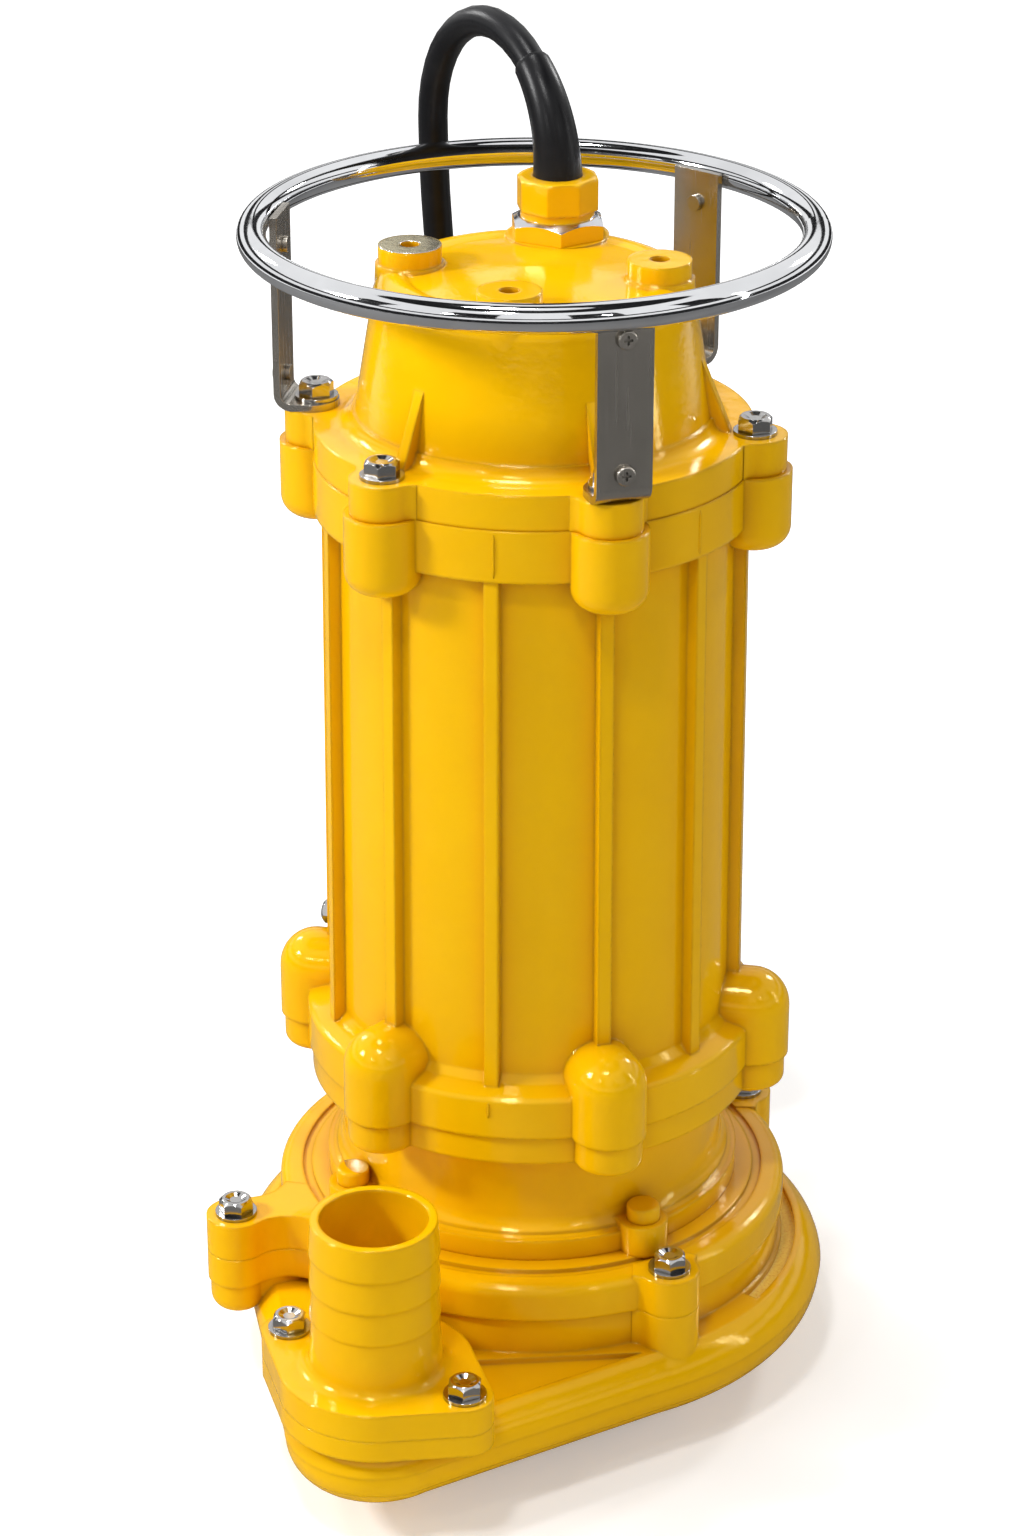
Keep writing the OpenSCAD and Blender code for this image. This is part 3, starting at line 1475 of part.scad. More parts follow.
// The gasket in the recess under the hose tail
module hose_tail_gasket() {
    color(rubber_black) translate([outlet_x, outlet_y, z_seat]) {
        pipe(gasket_r - fit, tail_bore_r, gasket_t);
    }
}

module hose_tail_bolts() {
    color(bright_steel) at_flange_bolts(z_tail + washer_t) hex_bolt(flange_bolt_l);
}

module hose_tail_washers() {
    color(bright_steel) at_flange_bolts(z_tail) pipe(washer_r, clear_r, washer_t);
}

// The shaft, from the cutter up to the upper bearing
module rotor_shaft() {
    color(bright_steel) difference() {
        union() {
            translate([0, 0, cutter_z]) cylinder(r = shaft_end_r, h = hub_top - cutter_z + bite);
            translate([0, 0, hub_top]) cylinder(r = seal_shaft_r, h = low_bearing_z - hub_top);
            translate([0, 0, low_bearing_z - bite]) {
                cylinder(r = low_journal_r, h = low_bearing_w + bite);
            }
            translate([0, 0, z_oil]) cylinder(r = shaft_r, h = z_frame - z_oil);
            translate([0, 0, core_z]) cylinder(r = core_seat_r, h = core_l);
            translate([0, 0, top_bearing_z - bite]) {
                cylinder(r = top_journal_r, h = shaft_top - top_bearing_z + bite);
            }
        }
        translate([0, 0, cutter_z - cut]) cylinder(r = bolt_r + fit, h = 20 + cut);
        key_slot();
    }
}

// The slot that the impeller's key lies in
module key_slot() {
    translate([-key_w / 2 - fit, -shaft_end_r - key_out - fit, hub_top - key_l - 3]) {
        cube([key_w + 2 * fit, key_t + 2 * fit, key_l + fit]);
    }
}

module impeller_key() {
    color(bright_steel) translate([-key_w / 2, -shaft_end_r - key_out, hub_top - key_l - 3]) {
        cube([key_w, key_t, key_l]);
    }
}

module rotor_core() {
    color(dark_steel) translate([0, 0, core_z]) pipe(rotor_r, core_seat_r + fit, core_l);
}

module rotor_end_rings() {
    color(cast_grey) for (z = [core_z - end_ring_h, core_z + core_l]) translate([0, 0, z]) {
        pipe(rotor_r - 3, shaft_r + 6, end_ring_h);
    }
}

module lower_bearing_inner() {
    color(bright_steel) translate([0, 0, low_bearing_z + face_gap]) {
        bearing_inner(low_journal_r, low_inner_r, low_bearing_w - face_gap, low_pitch_r, low_ball_r);
    }
}

module upper_bearing_inner() {
    color(bright_steel) translate([0, 0, top_bearing_z]) {
        bearing_inner(top_journal_r, top_inner_r, top_bearing_w, top_pitch_r, top_ball_r);
    }
}

// The turning half of the shaft seal: seal ring, bellows and collar
module seal_head() {
    fold = 2;
    color(cast_grey) translate([0, 0, seal_head_z]) difference() {
        union() {
            cylinder(r = seat_r - 1, h = 6);
            translate([0, 0, seal_head_h - 5]) cylinder(r = seat_r - 2, h = 5);
            cylinder(r = seat_r - 4, h = seal_head_h);
            for (k = [0:2]) translate([0, 0, 8.5 + 4 * k]) rotate_extrude() {
                translate([seat_r - 4, 0]) circle(fold);
            }
        }
        translate([0, 0, -cut]) cylinder(r = seal_shaft_r + fit, h = seal_head_h + 2 * cut);
    }
}

// The outline of a backward curved vane between the hub and the impeller's rim
module vane_outline() {
    bow = impeller_r * 0.62;
    intersection() {
        translate([-bow * 0.1, -bow]) difference() {
            circle(bow + vane_t / 2);
            circle(bow - vane_t / 2);
        }
        polygon([[0, 0], [0, -2 * impeller_r], [2 * impeller_r, -2 * impeller_r], [2 * impeller_r, 0]]);
        circle(impeller_r - vane_in);
    }
}

module impeller() {
    color(cast_grey) difference() {
        union() {
            translate([0, 0, impeller_z + vane_h]) cylinder(r = impeller_r, h = shroud_t);
            translate([0, 0, impeller_z]) cylinder(r = hub_r, h = hub_top - impeller_z);
            translate([0, 0, impeller_z]) for (k = [0:vane_n - 1]) linear_extrude(vane_h + bite) {
                rotate(360 / vane_n * k) vane_outline();
            }
        }
        translate([0, 0, impeller_z - cut]) {
            cylinder(r = shaft_end_r + fit, h = hub_top - impeller_z + 2 * cut);
        }
        key_slot();
    }
}

// The outline of one hooked blade
module blade_outline() {
    hook = cutter_r * 0.8;
    intersection() {
        circle(cutter_r);
        difference() {
            polygon([[-8, 0], [8, 0], [6, -2 * cutter_r], [-8, -2 * cutter_r]]);
            translate([hook * 0.9, -cutter_r * 0.75]) circle(hook * 0.85);
        }
    }
}

// The turning cutter, whose hooked blades shear against the notched inlet
module cutter_blade() {
    color(dark_steel) difference() {
        union() {
            translate([0, 0, cutter_z]) cylinder(r = hub_r - 3, h = impeller_z - cutter_z);
            translate([0, 0, cutter_z]) for (k = [0:blade_n - 1]) linear_extrude(blade_t) {
                rotate(360 / blade_n * k) blade_outline();
            }
        }
        translate([0, 0, cutter_z - cut]) {
            cylinder(r = shaft_end_r + fit, h = impeller_z - cutter_z + 2 * cut);
        }
    }
}

module cutter_screw() {
    color(bright_steel) translate([0, 0, cutter_z]) mirror([0, 0, 1]) {
        cap_screw(bolt_r, screw_head_r, screw_head_h, 18);
    }
}

module lower_bearing_cage() {
    color(dark_steel) translate([0, 0, low_bearing_z]) {
        ball_cage(low_pitch_r, low_ball_r, low_bearing_w);
    }
}

module upper_bearing_cage() {
    color(dark_steel) translate([0, 0, top_bearing_z]) {
        ball_cage(top_pitch_r, top_ball_r, top_bearing_w);
    }
}

volute_casing();
suction_plate();
suction_plate_screws();
casing_o_ring();
volute_cover();
cover_bolts();
cover_washers();
oil_chamber();
oil_chamber_screws();
oil_chamber_o_ring();
oil_plug();
lower_seal_seat();
upper_seal_ring();
lower_bearing_outer();
motor_frame();
frame_screws();
frame_o_ring();
earth_screw();
stator_core();
stator_windings();
bearing_bracket();
upper_bearing_outer();
wave_washer();
top_cover();
top_cover_bolts();
top_cover_washers();
top_cover_o_ring();
gland_body();
gland_nut();
gland_seal();
cable_sleeve();
handle_ring();
handle_bracket_1();
handle_bracket_2();
handle_bracket_3();
handle_screws();
hose_tail();
hose_tail_gasket();
hose_tail_bolts();
hose_tail_washers();
power_cable();
cable_coil();
cable_tail();
cable_ties();
cable_cores();
rotor_shaft();
rotor_core();
rotor_end_rings();
lower_bearing_inner();
upper_bearing_inner();
seal_head();
impeller();
impeller_key();
cutter_blade();
cutter_screw();
lower_bearing_cage();
upper_bearing_cage();
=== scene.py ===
import json
import math
import bpy
import bmesh
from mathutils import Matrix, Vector


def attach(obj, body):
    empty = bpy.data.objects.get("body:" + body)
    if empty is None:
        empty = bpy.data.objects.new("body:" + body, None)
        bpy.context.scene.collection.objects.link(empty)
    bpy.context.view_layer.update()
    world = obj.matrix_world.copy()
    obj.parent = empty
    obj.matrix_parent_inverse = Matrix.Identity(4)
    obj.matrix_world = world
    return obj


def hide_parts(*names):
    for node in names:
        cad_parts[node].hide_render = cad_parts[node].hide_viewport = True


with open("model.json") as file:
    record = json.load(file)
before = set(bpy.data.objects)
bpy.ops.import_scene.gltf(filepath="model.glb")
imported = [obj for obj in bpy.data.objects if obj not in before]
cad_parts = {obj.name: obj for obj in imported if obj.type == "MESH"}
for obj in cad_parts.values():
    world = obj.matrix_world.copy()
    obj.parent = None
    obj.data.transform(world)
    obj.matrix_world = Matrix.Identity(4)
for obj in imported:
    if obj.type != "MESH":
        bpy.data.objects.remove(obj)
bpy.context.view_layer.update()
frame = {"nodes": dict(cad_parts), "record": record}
nodes = frame["nodes"]
scene = bpy.context.scene
scene.view_settings.view_transform = "Standard"
collection = scene.collection

# Camera, fitted to points of the photograph
SENSOR_H = 36
FOCAL_PIXELS = 4000
FRAME_PIXELS = 1536
CAMERA_PLACE = (0, -1.55, 0.9899)
CAMERA_DOWN = 24.7
CAMERA_LEFT = 0.33
camera = bpy.data.cameras.new("camera")
camera.sensor_fit = "VERTICAL"
camera.sensor_height = SENSOR_H
camera.lens = SENSOR_H * FOCAL_PIXELS / FRAME_PIXELS
camera.clip_start = 0.05
camera.clip_end = 40
camera_object = bpy.data.objects.new("camera", camera)
camera_object.location = CAMERA_PLACE
camera_object.rotation_euler = (math.radians(90 - CAMERA_DOWN), 0, math.radians(CAMERA_LEFT))
collection.objects.link(camera_object)
scene.camera = camera_object


# Places and curves
def polar(degrees, radius):
    """The x and y of a place at an angle from the front, turning to the right."""
    return radius * math.sin(math.radians(degrees)), -radius * math.cos(math.radians(degrees))


def bezier(p, t):
    u = 1 - t
    return u ** 3 * p[0] + 3 * u ** 2 * t * p[1] + 3 * u * t * t * p[2] + t ** 3 * p[3]


def ease(t):
    t = min(max(t, 0), 1)
    return t * t * (3 - 2 * t)


def upright(height):
    return Vector((0, 0, height))


# Places on the castings as in part.scad: angles from the front, radii of the holes' circles
BOSS_RING = 0.0513
GLAND_ANGLE = 169.2
BARE_BOSS_ANGLE = -100.8
OIL_SCREW_RING = 0.0815
OIL_SCREW_ANGLE = -58.5

# Facts of the cable as in part.scad, in metres and degrees: its diameter, the arc of the loop
# over the ring, which is the cord's own from where the sleeve ends, and where it leaves the gland
CABLE = 0.013
LOOP_R = 0.052
LOOP_DIR = math.radians(121)
LOOP_START = 54
LOOP_END = 180
LOOP_POINTS = 14
GLAND = Vector((*polar(GLAND_ANGLE, BOSS_RING), 0))
Z_NUT = 0.5093
Z_EXIT = 0.5231

# The leg that hangs from the loop: where it hangs, and the heights that bend it
HANG = Vector((-0.038, 0.138, 0))
LEG_DROP = 0.05
LEG_TOP = (0.44, 0.4)
LEG_FOOT = (0.185, 0.09)
LEG_RUN_IN = 0.1
LEG_POINTS = 8
FOOT_POINTS = 16

# The coil: its middle, the outer and inner turns' radii, and the step down between layers
COIL = Vector((0, 0.24, 0))
COIL_OUT = 0.091
COIL_IN = 0.052
COIL_LIFT = 0.001
LAYERS = 4
TURNS = 3
LAYER_POINTS = 108
STEP_TURN = 0.375
STEP_POINTS = 14

# The free tail, which leaves the coil sideways and comes to lie on the floor
TAIL_OUT = 0.014
TAIL_DROP = 0.0009
TAIL_EASE = 8
TAIL_POINTS = 13
TAIL_PER_TURN = 48


def loop_point(turn):
    a = math.radians(turn)
    side = LOOP_R * (1 - math.cos(a))
    rise = Z_EXIT + LOOP_R * math.sin(a)
    return GLAND + Vector((side * math.cos(LOOP_DIR), side * math.sin(LOOP_DIR), rise))


def coil_rings(high):
    """Turn, radius and height of the points of the wound layers and the tail, from the top down."""
    rings = []
    turn = 0
    for layer in range(LAYERS):
        z = high - layer * CABLE
        start, end = (COIL_OUT, COIL_IN) if layer % 2 == 0 else (COIL_IN, COIL_OUT)
        for k in range(LAYER_POINTS):
            share = k / LAYER_POINTS
            rings.append((turn + TURNS * share, start + (end - start) * share, z))
        turn += TURNS
        if layer < LAYERS - 1:
            for k in range(STEP_POINTS):
                share = k / STEP_POINTS
                rings.append((turn + STEP_TURN * share, end, z - CABLE * ease(share)))
            turn += STEP_TURN
    for k in range(TAIL_POINTS):
        share = ease(k / TAIL_EASE)
        out, down = TAIL_OUT * share, TAIL_DROP * share
        rings.append((turn + k / TAIL_PER_TURN, COIL_OUT + out, z - down))
    return rings


def cable_route():
    """The loop, the hanging leg, the four wound layers and the free tail."""
    entry = COIL + Vector((-COIL_OUT, 0, COIL_LIFT + (LAYERS - 0.5) * CABLE))
    far_side = loop_point(LOOP_END)
    top = [far_side, far_side - upright(LEG_DROP)] + [HANG + upright(z) for z in LEG_TOP]
    foot = [HANG + upright(z) for z in LEG_FOOT] + [entry - Vector((0, LEG_RUN_IN, 0)), entry]
    sweep = LOOP_END - LOOP_START
    points = [loop_point(LOOP_START + sweep * k / LOOP_POINTS) for k in range(LOOP_POINTS)]
    points += [bezier(top, k / LEG_POINTS) for k in range(LEG_POINTS + 1)]
    points += [bezier(foot, k / FOOT_POINTS) for k in range(FOOT_POINTS + 1)]
    for t, r, height in coil_rings(entry.z)[1:]:
        a = math.radians(180 - 360 * t)
        points.append(COIL + Vector((r * math.cos(a), r * math.sin(a), height)))
    return points


# Meshes
SHARP = math.radians(35)


def add_mesh(name, bm, body="pump"):
    """A mesh object with smooth faces and sharp edges, which rides on a body if one is named."""
    mesh = bpy.data.meshes.new(name)
    bm.normal_update()
    for edge in bm.edges:
        edge.smooth = not (len(edge.link_faces) == 2 and edge.calc_face_angle(0) > SHARP)
    for face in bm.faces:
        face.smooth = True
    bm.to_mesh(mesh)
    bm.free()
    item = bpy.data.objects.new(name, mesh)
    collection.objects.link(item)
    if body:
        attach(item, body)
    return item


def skin(bm, a, b):
    """A band of faces between two rings of as many points."""
    count = len(a)
    for k in range(count):
        bm.faces.new((a[k], b[k], b[(k + 1) % count], a[(k + 1) % count]))


def tube(bm, points, radii, sides, first, final):
    """A closed tube along points, with a ring of its own radius at each."""
    rings = []
    up = Vector((-math.sin(LOOP_DIR), math.cos(LOOP_DIR), 0))
    for i, p in enumerate(points):
        ahead = (points[min(i + 1, len(points) - 1)] - points[max(i - 1, 0)]).normalized()
        ahead = first if i == 0 else final if i == len(points) - 1 else ahead
        u = ahead.cross(up).normalized()
        v = u.cross(ahead)
        ring = []
        for k in range(sides):
            a = 2 * math.pi * k / sides
            ring.append(bm.verts.new(p + radii[i] * (math.cos(a) * u + math.sin(a) * v)))
        rings.append(ring)
    for a, b in zip(rings, rings[1:]):
        skin(bm, a, b)
    bm.faces.new(rings[0])
    bm.faces.new(reversed(rings[-1]))
    bmesh.ops.recalc_face_normals(bm, faces=bm.faces)


# Cable ties, each a band that hugs the wound turns and a ratchet head with its cut end. The band
# has its full thickness over TIE_FLAT of its width, and TIE_EDGE less at its two edges
TIE_T = 0.00095
TIE_W = 0.005
TIE_ANGLES = (0, 240)
TIE_EDGE = 0.0002
TIE_FLAT = 0.9
TIE_POINTS = 96

# Radii between which a turn is wound and not the tail, and how level the top layer's turns are
WOUND = (0.04, 0.1)
TOP_LAYER = 0.002

# The head and the cut end: half size along and across the band, lowest and highest level
HEAD = (0.0034, 0.0032, 0.0, 0.0036)
CUT_END = (0.0009, 0.0022, 0.0036, 0.0062)
HEAD_SINK = 0.0002
HEAD_SIDES = 24
HEAD_SQUARE = 0.35
HEAD_EDGE_LOW = 0.0004
HEAD_EDGE_HIGH = 0.0005


def turns_at(angle):
    """Radius and height of every turn of the coil where it passes an angle about its middle."""
    out = Vector((math.cos(angle), math.sin(angle), 0))
    across = Vector((-out.y, out.x, 0))
    found = []
    for a, b in zip(route, route[1:]):
        p, q = a - COIL, b - COIL
        low = p.z < LAYERS * CABLE and q.z < LAYERS * CABLE
        if low and p.dot(out) > 0 and p.dot(across) * q.dot(across) <= 0:
            before, after = abs(p.dot(across)), abs(q.dot(across))
            middle = p.lerp(q, before / max(before + after, 1e-9))
            if WOUND[0] < middle.dot(out) < WOUND[1]:
                found.append((middle.dot(out), middle.z))
    return found


def hull(circles, radius):
    """The line of a band pulled tight round circles of one radius, as points at even turns."""
    line = []
    for k in range(TIE_POINTS):
        a = 2 * math.pi * k / TIE_POINTS
        x, z = max(circles, key=lambda c: c[0] * math.cos(a) + c[1] * math.sin(a))
        line.append((x + radius * math.cos(a), z + radius * math.sin(a)))
    return line


def rounded_block(bm, middle, out, across, half_r, half_w, low, high):
    """A block with rounded corners and softened ends, standing on middle."""
    levels = (
        (low, HEAD_EDGE_LOW), (low + HEAD_EDGE_LOW, 0),
        (high - HEAD_EDGE_HIGH, 0), (high, HEAD_EDGE_HIGH),
    )
    rings = []
    for height, inset in levels:
        ring = []
        for k in range(HEAD_SIDES):
            a = 2 * math.pi * k / HEAD_SIDES
            c, d = math.cos(a), math.sin(a)
            x = (half_r - inset) * math.copysign(abs(c) ** HEAD_SQUARE, c)
            y = (half_w - inset) * math.copysign(abs(d) ** HEAD_SQUARE, d)
            ring.append(bm.verts.new(middle + out * x + across * y + upright(height)))
        rings.append(ring)
    for a, b in zip(rings, rings[1:]):
        skin(bm, a, b)
    bm.faces.new(rings[0])
    bm.faces.new(rings[-1])


def tie(bm, angle):
    """The band round the turns at an angle, and the head with its cut end on top of it."""
    out = Vector((math.cos(angle), math.sin(angle), 0))
    across = Vector((-out.y, out.x, 0))
    turns = turns_at(angle)
    inner, outer = [], []
    for side, inset in ((-1, TIE_EDGE), (-TIE_FLAT, 0), (TIE_FLAT, 0), (1, TIE_EDGE)):
        shift = COIL + across * (side * TIE_W / 2)
        for loops, reach in ((inner, 0), (outer, TIE_T - inset)):
            line = hull(turns, CABLE / 2 + reach)
            loops.append([bm.verts.new(shift + out * x + upright(z)) for x, z in line])
    loops = outer + inner[::-1]
    for a, b in zip(loops, loops[1:] + loops[:1]):
        skin(bm, b, a)
    crest = max(z for x, z in turns)
    upper = [x for x, z in turns if z > crest - TOP_LAYER]
    seat = COIL + out * (sum(upper) / len(upper)) + upright(crest + CABLE / 2 + TIE_T - HEAD_SINK)
    rounded_block(bm, seat, out, across, *HEAD)
    rounded_block(bm, seat, out, across, *CUT_END)


route = cable_route()
bm = bmesh.new()
for angle in TIE_ANGLES:
    tie(bm, math.radians(angle))
bmesh.ops.recalc_face_normals(bm, faces=bm.faces)
ties = add_mesh("ties", bm)
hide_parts("cable_ties")

# Cable, a curve swept and kept as a mesh
curve = bpy.data.curves.new("cable", "CURVE")
curve.dimensions = "3D"
curve.bevel_depth = CABLE / 2
curve.bevel_resolution = 6
curve.use_fill_caps = True
spline = curve.splines.new("POLY")
spline.points.add(len(route) - 1)
for point, spot in zip(spline.points, route):
    point.co = (*spot, 1)
spline.use_smooth = True
swept = bpy.data.objects.new("cable_curve", curve)
collection.objects.link(swept)
graph = bpy.context.evaluated_depsgraph_get()
cable_mesh = bpy.data.meshes.new_from_object(swept.evaluated_get(graph))
cable = bpy.data.objects.new("cable", cable_mesh)
collection.objects.link(cable)
bpy.data.objects.remove(swept)
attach(cable, "pump")
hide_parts("power_cable", "cable_coil", "cable_tail")

# Rubber sleeve over the cable's first bend, with a rounded lip at its end
SLEEVE_R = 0.0102
SLEEVE_WALL = 0.0012
SLEEVE_LIP = 0.0005
SLEEVE_STEPS = 40
SLEEVE_FOOT = 4
SLEEVE_SIDES = 48
bm = bmesh.new()
rise = Z_EXIT - Z_NUT
points = [GLAND + upright(Z_NUT + rise * k / SLEEVE_FOOT) for k in range(SLEEVE_FOOT)]
radii = [SLEEVE_R] * SLEEVE_FOOT
for k in range(SLEEVE_STEPS + 1):
    t = k / SLEEVE_STEPS
    points.append(loop_point(LOOP_START * t))
    radii.append(SLEEVE_R + (CABLE / 2 + SLEEVE_WALL - SLEEVE_R) * t)
radii[-1] -= SLEEVE_LIP
heading = math.radians(LOOP_START)
sideways = math.sin(heading)
final = Vector((sideways * math.cos(LOOP_DIR), sideways * math.sin(LOOP_DIR), math.cos(heading)))
tube(bm, points, radii, SLEEVE_SIDES, upright(1), final)
sleeve = add_mesh("sleeve", bm)
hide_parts("cable_sleeve")

# Mould lines, thin raised seams that the casting keeps on the frame's flanges: angle from the
# front, radius of the wall, lowest and highest level
MOULD_LINES = (
    (-10, 0.091, 0.4, 0.4185), (46.8, 0.091, 0.4, 0.4185), (-10.8, 0.098, 0.1605, 0.1675),
)
SEAM_R = 0.0007
SEAM_SINK = 0.0001
SEAM_STEPS = 12
SEAM_SIDES = 10
SEAM_END = 0.06
bm = bmesh.new()
for turn, radius, low, high in MOULD_LINES:
    out = Vector((*polar(turn, 1), 0))
    points, radii = [], []
    for k in range(SEAM_STEPS + 1):
        points.append(out * (radius - SEAM_SINK) + upright(low + (high - low) * k / SEAM_STEPS))
        fade = 1 - abs(2 * k / SEAM_STEPS - 1) ** 6
        radii.append(SEAM_R * math.sqrt(max(fade, SEAM_END)))
    tube(bm, points, radii, SEAM_SIDES, upright(1), upright(1))
seams = add_mesh("mould_lines", bm)


# Node helpers
def new_material(name):
    material = bpy.data.materials.new(name)
    material.use_nodes = True
    tree = material.node_tree
    return material, tree, tree.nodes["Principled BSDF"]


def join(tree, value, socket):
    """A socket is linked, and a plain value is set."""
    if hasattr(value, "is_output"):
        tree.links.new(value, socket)
    else:
        socket.default_value = value


def add(tree, kind, inputs=None, **settings):
    item = tree.nodes.new(kind)
    for key, value in settings.items():
        setattr(item, key, value)
    for key, value in (inputs or {}).items():
        join(tree, value, item.inputs[key])
    return item


def noise(tree, vector, scale, detail=4, roughness=0.55):
    inputs = {"Vector": vector, "Scale": scale, "Detail": detail, "Roughness": roughness}
    return add(tree, "ShaderNodeTexNoise", inputs).outputs["Fac"]


def span(tree, value, low, high, to_low=0.0, to_high=1.0):
    """Value taken from low..high to to_low..to_high, each a number or a socket."""
    inputs = {
        "Value": value, "From Min": low, "From Max": high, "To Min": to_low, "To Max": to_high,
    }
    return add(tree, "ShaderNodeMapRange", inputs).outputs["Result"]


def blend(tree, factor, a, b):
    """The colours a and b mixed, each a tuple or a socket."""
    item = add(tree, "ShaderNodeMix", data_type="RGBA")
    for identifier, value in (("Factor_Float", factor), ("A_Color", a), ("B_Color", b)):
        socket = next(s for s in item.inputs if s.identifier == identifier)
        join(tree, (*value, 1) if isinstance(value, tuple) else value, socket)
    return next(s for s in item.outputs if s.identifier == "Result_Color")


def math_node(tree, operation, a, b=0.5):
    item = add(tree, "ShaderNodeMath", operation=operation)
    join(tree, a, item.inputs[0])
    join(tree, b, item.inputs[1])
    return item.outputs[0]


def product(tree, *values):
    """All the values multiplied, in their order."""
    result = values[0]
    for value in values[1:]:
        result = math_node(tree, "MULTIPLY", result, value)
    return result


def place(tree, scale=(1, 1, 1)):
    coordinates = add(tree, "ShaderNodeTexCoord").outputs["Object"]
    inputs = {"Vector": coordinates, "Scale": scale}
    return add(tree, "ShaderNodeMapping", inputs).outputs["Vector"]


def split(tree, vector):
    return add(tree, "ShaderNodeSeparateXYZ", {"Vector": vector}).outputs


def normal_of(tree):
    return split(tree, add(tree, "ShaderNodeNewGeometry").outputs["Normal"])


def corners(tree, distance, samples):
    """How much shade reaches a place: open surface is 1, and what lies in corners and creases falls
    towards 0.
    """
    inputs = {"Distance": distance}
    return add(tree, "ShaderNodeAmbientOcclusion", inputs, samples=samples).outputs["AO"]


def bumped(tree, shader, height, strength, distance, edge=0.0):
    """Bump on the shader's normal, over edges that are softened where edge isn't nought."""
    inputs = {"Height": height, "Strength": strength, "Distance": distance}
    if edge:
        inputs["Normal"] = add(tree, "ShaderNodeBevel", {"Radius": edge}, samples=4).outputs[0]
    tree.links.new(add(tree, "ShaderNodeBump", inputs).outputs["Normal"], shader.inputs["Normal"])


def facing_up(tree, least=0.8):
    return math_node(tree, "GREATER_THAN", normal_of(tree)["Z"], least)


def near(tree, where, x, y, reach):
    """One inside a round column at x, y, and nought outside."""
    flat_inputs = {0: where, 1: (1, 1, 0)}
    flat = add(tree, "ShaderNodeVectorMath", flat_inputs, operation="MULTIPLY").outputs[0]
    apart = add(tree, "ShaderNodeVectorMath", {0: flat, 1: (x, y, 0)}, operation="DISTANCE")
    return math_node(tree, "LESS_THAN", apart.outputs["Value"], reach)


def seen_rays(tree):
    """One for rays that come straight from the camera, a reflection or a clear surface."""
    rays = add(tree, "ShaderNodeLightPath").outputs
    seen = math_node(tree, "MAXIMUM", rays["Is Camera Ray"], rays["Is Glossy Ray"])
    return math_node(tree, "MAXIMUM", seen, rays["Is Transmission Ray"])


# Colours of the paint, of the painted shade in its creases, and of what shows where it is bare or
# worn
YELLOW = (0.93, 0.515, 0.001)
YELLOW_DEEP = (0.89, 0.475, 0.001)
YELLOW_PALE = (0.95, 0.56, 0.002)
YELLOW_GLAND = (0.86, 0.44, 0.001)
# The deep orange of the painted shade in the paint's creases
YELLOW_PAINTED_SHADE = (0.5, 0.2, 0.0)
YELLOW_GLINT = (1, 0.84, 0.35, 1)
SAND = (0.95, 0.68, 0.12)
BARE_METAL = (0.78, 0.78, 0.79)
PAINT_EDGE = 0.002


def paint(name, rough_cast, bare=None, seam=None):
    """Glossy enamel over a casting: orange peel, uneven skin, and painted shade in the creases.

    bare marks where the paint is off or thin, and seam is the height of a parting line.
    """
    material, tree, shader = new_material(name)
    where = place(tree)
    broad = noise(tree, where, scale=9, detail=3)
    fine = noise(tree, where, scale=60)
    base = blend(tree, span(tree, broad, 0.35, 0.65), YELLOW, YELLOW_DEEP)
    base = blend(tree, span(tree, fine, 0.55, 0.8, 0, 0.3), base, YELLOW_PALE)
    # Painted shade: the paint goes towards a deep orange where ambient occlusion finds corners and
    # creases
    crease_shade = span(tree, corners(tree, distance=0.011, samples=6), 0.25, 0.9, 1, 0)
    base = blend(tree, product(tree, crease_shade, 0.8), base, YELLOW_PAINTED_SHADE)
    rough = span(tree, fine, 0.3, 0.7, 0.07, 0.14)
    shader.inputs["Specular IOR Level"].default_value = 0.6
    shader.inputs["Specular Tint"].default_value = YELLOW_GLINT
    peel = product(tree, noise(tree, where, scale=420, detail=2), 0.12)
    casting = product(tree, noise(tree, where, scale=55, detail=3, roughness=0.5), rough_cast)
    height = math_node(tree, "ADD", peel, casting)
    if seam:
        off = math_node(tree, "SUBTRACT", split(tree, where)["Z"], seam)
        off = math_node(tree, "ABSOLUTE", off)
        height = math_node(tree, "ADD", height, span(tree, off, 0.0002, 0.0007, 0.8, 0))
    if bare:
        mask, colour, metallic, dull = bare(tree, where)
        base = blend(tree, mask, base, colour)
        tree.links.new(product(tree, mask, metallic), shader.inputs["Metallic"])
        rough = span(tree, mask, 0, 1, rough, dull)
    tree.links.new(base, shader.inputs["Base Color"])
    tree.links.new(rough, shader.inputs["Roughness"])
    bumped(tree, shader, height, strength=0.5, distance=0.0009, edge=PAINT_EDGE)
    return material


def bare_top(degrees, radius, reach, low):
    """Bright machined metal on the level top of one boss or screw."""
    def mask(tree, where):
        x, y = polar(degrees, radius)
        high = math_node(tree, "GREATER_THAN", split(tree, where)["Z"], low)
        there = product(tree, near(tree, where, x, y, reach), high, facing_up(tree))
        return there, BARE_METAL, 1.0, 0.22
    return mask


def sandy_floor(low, high, inner, outer, least_x):
    """A dull, sandy strip at the right where the paint lies thin on a level ring of a casting."""
    def mask(tree, where):
        level = split(tree, where)["Z"]
        right = math_node(tree, "GREATER_THAN", split(tree, where)["X"], least_x)
        there = product(
            tree, math_node(tree, "GREATER_THAN", level, low),
            math_node(tree, "LESS_THAN", level, high), facing_up(tree, 0.95),
            near(tree, where, 0, 0, outer), right,
            math_node(tree, "SUBTRACT", 1, near(tree, where, 0, 0, inner)),
            span(tree, noise(tree, where, scale=700, detail=3), 0.3, 0.62, 0.25, 0.95),
        )
        return there, SAND, 0.0, 0.55
    return mask


